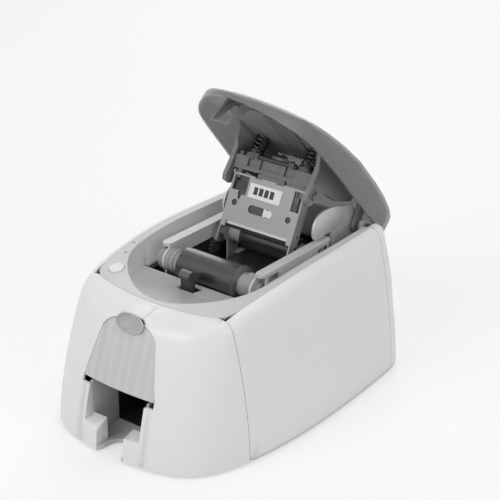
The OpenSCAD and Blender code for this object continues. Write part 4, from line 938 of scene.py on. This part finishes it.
@dataclass
class LidRoof:
    """The smoked lid, a thin crowned shell that is narrower at its front.

    Its depths and heights are those of the lid lying level, taken from the hinge, before it is
    turned to stand open.
    """

    node: str = "lid_shell"
    width: float = 127.4
    flare: float = 0.00085
    front: float = -179.0
    middle: float = -70.5
    rear: float = 25.6
    crown: float = 12.0
    wall: float = 2.2
    columns: int = 144
    side_bows: tuple[float, float] = (400.0, 2000.0)
    end_bows: tuple[float, float] = (89.0, 500.0)
    corners: tuple[float, float] = (24.0, 36.0)
    rim_rise: float = 0.3
    rim: tuple[tuple[float, float], ...] = (
        (0.0, 3.5), (0.08, 7.5), (0.16, 10.0), (0.215, 11.5), (0.35, 11.0), (0.51, 9.5), (0.78, 4.5),
        (0.885, 3.0), (1.0, 0.5),
    )
    shoulder: tuple[tuple[float, float], ...] = (
        (0.0, 6.3), (0.043, 9.0), (0.1, 11.6), (0.215, 17.0), (0.33, 21.7), (0.455, 25.5), (0.593, 28.0),
        (0.756, 27.0), (0.856, 25.0), (0.933, 21.5), (0.971, 17.5), (1.0, 12.5),
    )
    seat: float = 6.0
    fitted: tuple[str, ...] = ("lid_inner_frame", "lid_catch")
    play: float = 0.3
    skirt: tuple[tuple[float, float], ...] = ((0.0, 1.0), (0.55, 1.0), (0.85, 0.998), (1.0, 0.992))
    turn_drop: float = 0.4
    turn_inset: float = 0.7
    shares: tuple[float, ...] = (
        0.985, 0.97, 0.94, 0.9, 0.85, 0.8, 0.74, 0.67, 0.6, 0.52, 0.44, 0.36, 0.27, 0.18, 0.09,
    )
    gather: float = 8.0
    ceiling_share: float = 0.97

    @staticmethod
    def read(line: tuple[tuple[float, float], ...], share: float) -> float:
        """Reads a height between the points of a line.

        Args:
            line: Pairs of share and height, in rising order.
            share: Where to read it.

        Returns:
            The height.
        """
        if share <= line[0][0]:
            return line[0][1]
        for (s0, h0), (s1, h1) in zip(line, line[1:]):
            if share <= s1:
                return h0 + (h1 - h0) * (share - s0) / (s1 - s0)
        return line[-1][1]

    @staticmethod
    def bowed(near: float, u: float, v: float, bow: float) -> float:
        """Finds the distance along a ray to a bowed side.

        Args:
            near: Distance to the middle of the side.
            u: Part of the ray towards the side.
            v: Part of the ray along the side.
            bow: Radius of the side.

        Returns:
            The distance.
        """
        return 2 * near / (u + math.sqrt(u * u + 4 * near * near * v * v / (bow * bow)))

    def edge(self, column: int, share: float, inset: float) -> tuple[float, float]:
        """Finds a point of the lid's plan outline.

        Args:
            column: Which point round the outline; 0 is the front.
            share: How far out it lies, 1 at the edge.
            inset: How far the outline is drawn in.

        Returns:
            Its width and depth.
        """
        angle = math.radians(-90.0 + 360.0 * column / self.columns)
        angle += math.radians(self.gather) * math.sin(4 * angle)
        u, v = abs(math.cos(angle)), abs(math.sin(angle))
        end = 0 if math.sin(angle) < 0 else 1
        reach = (self.middle - self.front if end == 0 else self.rear - self.middle) - inset
        side = self.bowed(self.width / 2 - inset, u, v, self.side_bows[end])
        cap = self.bowed(reach, v, u, self.end_bows[end])
        m = self.corners[end]
        r = (side ** -m + cap ** -m) ** (-1 / m)
        x, along = r * math.cos(angle), r * math.sin(angle)
        return x * share * (1 + self.flare * along), self.middle + along * share

    def heights(self, depth: float) -> tuple[float, float]:
        """Finds the rim and the shoulder at a depth.

        Args:
            depth: The depth, from the hinge.

        Returns:
            Both heights above the hinge.
        """
        share = (depth - self.front) / (self.rear - self.front)
        return (
            self.seat + self.rim_rise * self.read(self.rim, share),
            self.seat + self.read(self.shoulder, share),
        )

    def rows(self, inset: float) -> list[list[tuple[float, float, float]]]:
        """Lists the shell's points, row by row from the rim to the crown.

        Args:
            inset: How far the surface is drawn in, 0 outside.

        Returns:
            The rows.
        """
        table = []
        for lift, share in self.skirt:
            turned = lift == 1.0
            drop = self.turn_drop + inset * self.turn_inset if turned else 0.0
            rise = self.crown * (1 - share ** 2) if turned else 0.0
            row = []
            for k in range(self.columns):
                x, y = self.edge(k, share, inset)
                low, high = self.heights(y)
                row.append((x, y, low + (high - low) * lift - drop + rise))
            table.append(row)
        for share in self.shares:
            row = []
            for k in range(self.columns):
                x, y = self.edge(k, share, inset)
                row.append((x, y, self.heights(y)[1] + self.crown * (1 - share * share) - inset))
            table.append(row)
        return table

    def ceiling(self, x: float, y: float) -> float:
        """Finds the height of the roof's inner face over a point.

        Args:
            x: Width of the point.
            y: Depth of the point, from the hinge.

        Returns:
            The height above the hinge.
        """
        along = y - self.middle
        reach = (self.middle - self.front if along < 0 else self.rear - self.middle) - self.wall
        half = (self.width / 2 - self.wall) * (1 + self.flare * along)
        share = min(self.ceiling_share, max(abs(x) / half, abs(along) / reach))
        return self.heights(y)[1] + self.crown * (1 - share * share) - self.wall

    def build(self, shop: Workshop) -> None:
        """Lofts the shell, turns it open, hangs it on the hinge and fits what it covers.

        Args:
            shop: The workshop.
        """
        place = lid_frame() @ Matrix.Scale(MM, 4)
        self._loft(shop, place)
        level = place.inverted()
        for node in self.fitted:
            piece = shop.smooth_copy(node)
            for vertex in piece.data.vertices:
                point = level @ vertex.co
                point.z = min(point.z, self.ceiling(point.x, point.y) - self.play)
                vertex.co = place @ point
            piece.data.update()
            shop.dress(piece, shop.materials[NODE_FINISH[node]])

    def _loft(self, shop: Workshop, place: Matrix) -> None:
        """Lofts the shell.

        Args:
            shop: The workshop.
            place: The lid's frame, which turns millimetres into metres.
        """
        mesh = bpy.data.meshes.new("lid_roof")
        shell = bmesh.new()
        tops = []
        grids = []
        for inset in (0.0, self.wall):
            rows = self.rows(inset)
            grids.append([[shell.verts.new(place @ Vector(point)) for point in row] for row in rows])
            top = self.heights(self.middle)[1] + self.crown - inset
            tops.append(shell.verts.new(place @ Vector((0.0, self.middle, top))))
        n = self.columns
        for grid, top in zip(grids, tops):
            for below, above in zip(grid, grid[1:]):
                for k in range(n):
                    shell.faces.new((below[k], below[(k + 1) % n], above[(k + 1) % n], above[k]))
            for k in range(n):
                shell.faces.new((grid[-1][k], grid[-1][(k + 1) % n], top))
        outer, inner = grids[0][0], grids[1][0]
        for k in range(n):
            shell.faces.new((outer[k], inner[k], inner[(k + 1) % n], outer[(k + 1) % n]))
        bmesh.ops.recalc_face_normals(shell, faces=shell.faces)
        shell.to_mesh(mesh)
        shell.free()
        piece = bpy.data.objects.new("lid_roof", mesh)
        bpy.context.scene.collection.objects.link(piece)
        shop.activate(piece)
        bpy.ops.object.shade_smooth_by_angle(angle=ROOF_ANGLE)
        shop.dress(piece, shop.materials["lid"])
        shop.ride(piece, shop.body_of[self.node], shop.slot_of[self.node])
        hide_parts(self.node)


@dataclass
class Spools:
    """The supply roll's core, of which the flange beside the film is dark, and its thin discs."""

    core: str = "supply_core"
    discs: str = "supply_discs"
    flange: tuple[float, float] = (28.5, 33.0)

    def build(self, shop: Workshop) -> None:
        """Makes the smooth copies of the core and the discs.

        Args:
            shop: The workshop.
        """
        for node in (self.core, self.discs):
            piece = shop.smooth_copy(node)
            shop.dress(piece, shop.materials["collar"])
            piece.data.materials.append(shop.materials["dusk"])
            for face in piece.data.polygons:
                face.material_index = int(self.flange[0] < face.center.x / MM < self.flange[1])


@dataclass
class Mechanics:
    """The solids that keep their CAD shape and get a finish."""

    def build(self, shop: Workshop) -> None:
        """Dresses every node.

        Args:
            shop: The workshop.
        """
        for node, obj in shop.frame["nodes"].items():
            shop.dress(obj, shop.materials[NODE_FINISH[node]])
            LOG.info("%s is dressed as %s", node, NODE_FINISH[node])


@dataclass
class Studio:
    """Floor, light and camera."""

    camera_at: tuple[float, float, float] = (0.69463, -0.84328, 0.63275)
    azimuth: float = 38.4
    elevation: float = 24.8
    focal_px: float = 1456.0
    frame_px: float = 500.0
    sensor: float = 36.0
    clip: tuple[float, float] = (0.05, 20.0)
    floor_size: float = 4.0
    floor_drop: float = 0.0003
    floor_tone: tuple[float, float, float, float] = (0.9, 0.9, 0.9, 1.0)
    white: tuple[float, float, float, float] = (1.0, 1.0, 1.0, 1.0)
    floor_white: float = 0.55
    world_light: float = 0.42
    aim: tuple[float, float, float] = (0.0, 0.0, 0.1)
    lamps: tuple[tuple[str, tuple[float, float, float], float, float], ...] = (
        ("key_light", (-0.35, -1.35, 1.1), 0.9, 10.0),
        ("side_light", (1.5, -0.25, 0.8), 1.0, 5.0),
        ("top_light", (0.1, 0.35, 1.7), 1.2, 8.0),
        ("rear_light", (-0.8, 1.3, 0.9), 1.0, 5.0),
    )

    def build(self, shop: Workshop) -> None:
        """Makes the stage.

        Args:
            shop: The workshop.
        """
        self._floor(shop)
        self._lights()
        self._camera()

    def _floor(self, shop: Workshop) -> None:
        """Lays the pale floor, which looks white to the camera apart from the object's shadow.

        Args:
            shop: The workshop.
        """
        shop.deselect()
        bpy.ops.mesh.primitive_plane_add(size=self.floor_size, location=(0.0, 0.0, -self.floor_drop))
        floor = bpy.context.object
        floor.name = "studio_floor"
        material = bpy.data.materials.new("studio_floor")
        material.use_nodes = True
        nodes, links = material.node_tree.nodes, material.node_tree.links
        lit = nodes["Principled BSDF"]
        lit.inputs["Base Color"].default_value = self.floor_tone
        lit.inputs["Roughness"].default_value = 0.8
        white = nodes.new("ShaderNodeEmission")
        white.inputs["Color"].default_value = self.white
        share = math_node(nodes, "MULTIPLY", self.floor_white)
        links.new(self._seen(nodes, links), share.inputs[0])
        mix = nodes.new("ShaderNodeMixShader")
        links.new(share.outputs[0], mix.inputs["Fac"])
        links.new(lit.outputs["BSDF"], mix.inputs[1])
        links.new(white.outputs["Emission"], mix.inputs[2])
        links.new(mix.outputs["Shader"], nodes["Material Output"].inputs["Surface"])
        floor.data.materials.append(material)

    @staticmethod
    def _seen(nodes: bpy.types.Nodes, links: bpy.types.NodeLinks) -> bpy.types.NodeSocket:
        """Marks the rays that show the backdrop.

        Args:
            nodes: The nodes of the floor or the world.
            links: Their links.

        Returns:
            An output that is 1 on camera, glossy and transmission rays.
        """
        path = nodes.new("ShaderNodeLightPath")
        total = path.outputs["Is Camera Ray"]
        for kind in ("Is Glossy Ray", "Is Transmission Ray"):
            add = math_node(nodes, "ADD")
            add.use_clamp = True
            links.new(total, add.inputs[0])
            links.new(path.outputs[kind], add.inputs[1])
            total = add.outputs[0]
        return total

    def _lights(self) -> None:
        """Sets the soft lamps and the pale world."""
        world = bpy.data.worlds.new("studio_world")
        bpy.context.scene.world = world
        world.use_nodes = True
        nodes, links = world.node_tree.nodes, world.node_tree.links
        back = nodes["Background"]
        back.inputs["Color"].default_value = self.white
        level = nodes.new("ShaderNodeMapRange")
        level.inputs["To Min"].default_value = self.world_light
        level.inputs["To Max"].default_value = 1.0
        links.new(self._seen(nodes, links), level.inputs["Value"])
        links.new(level.outputs["Result"], back.inputs["Strength"])
        for name, place, size, power in self.lamps:
            lamp = bpy.data.lights.new(name, "AREA")
            lamp.shape = "SQUARE"
            lamp.size = size
            lamp.energy = power
            holder = bpy.data.objects.new(name, lamp)
            bpy.context.scene.collection.objects.link(holder)
            holder.location = place
            aim = Vector(self.aim) - Vector(place)
            holder.rotation_euler = aim.to_track_quat("-Z", "Y").to_euler()

    def _camera(self) -> None:
        """Places the camera."""
        data = bpy.data.cameras.new("studio_camera")
        data.sensor_width = self.sensor
        data.lens = self.focal_px / self.frame_px * self.sensor
        data.clip_start, data.clip_end = self.clip
        camera = bpy.data.objects.new("studio_camera", data)
        bpy.context.scene.collection.objects.link(camera)
        a, e = math.radians(self.azimuth), math.radians(self.elevation)
        back = Vector((math.sin(a) * math.cos(e), -math.cos(a) * math.cos(e), math.sin(e)))
        right = Vector((math.cos(a), math.sin(a), 0.0))
        up = back.cross(right)
        turn = Matrix((right, up, back)).transposed()
        camera.matrix_world = Matrix.Translation(Vector(self.camera_at)) @ turn.to_4x4()
        bpy.context.scene.camera = camera
        bpy.context.scene.view_settings.view_transform = "Standard"


def main() -> None:
    """Builds the looks in order and finishes the scene."""
    logging.basicConfig(level=logging.INFO, format="%(name)s: %(message)s")
    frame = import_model()
    shop = Workshop(frame)
    Mechanics().build(shop)
    Covers().build(shop)
    LidRoof().build(shop)
    Spools().build(shop)
    printing = HeadPrinting()
    printing.build(shop)
    HeadSink().build(shop, printing.plate_frame())
    Brackets().build(shop)
    Studio().build(shop)


if __name__ == "__main__":
    main()
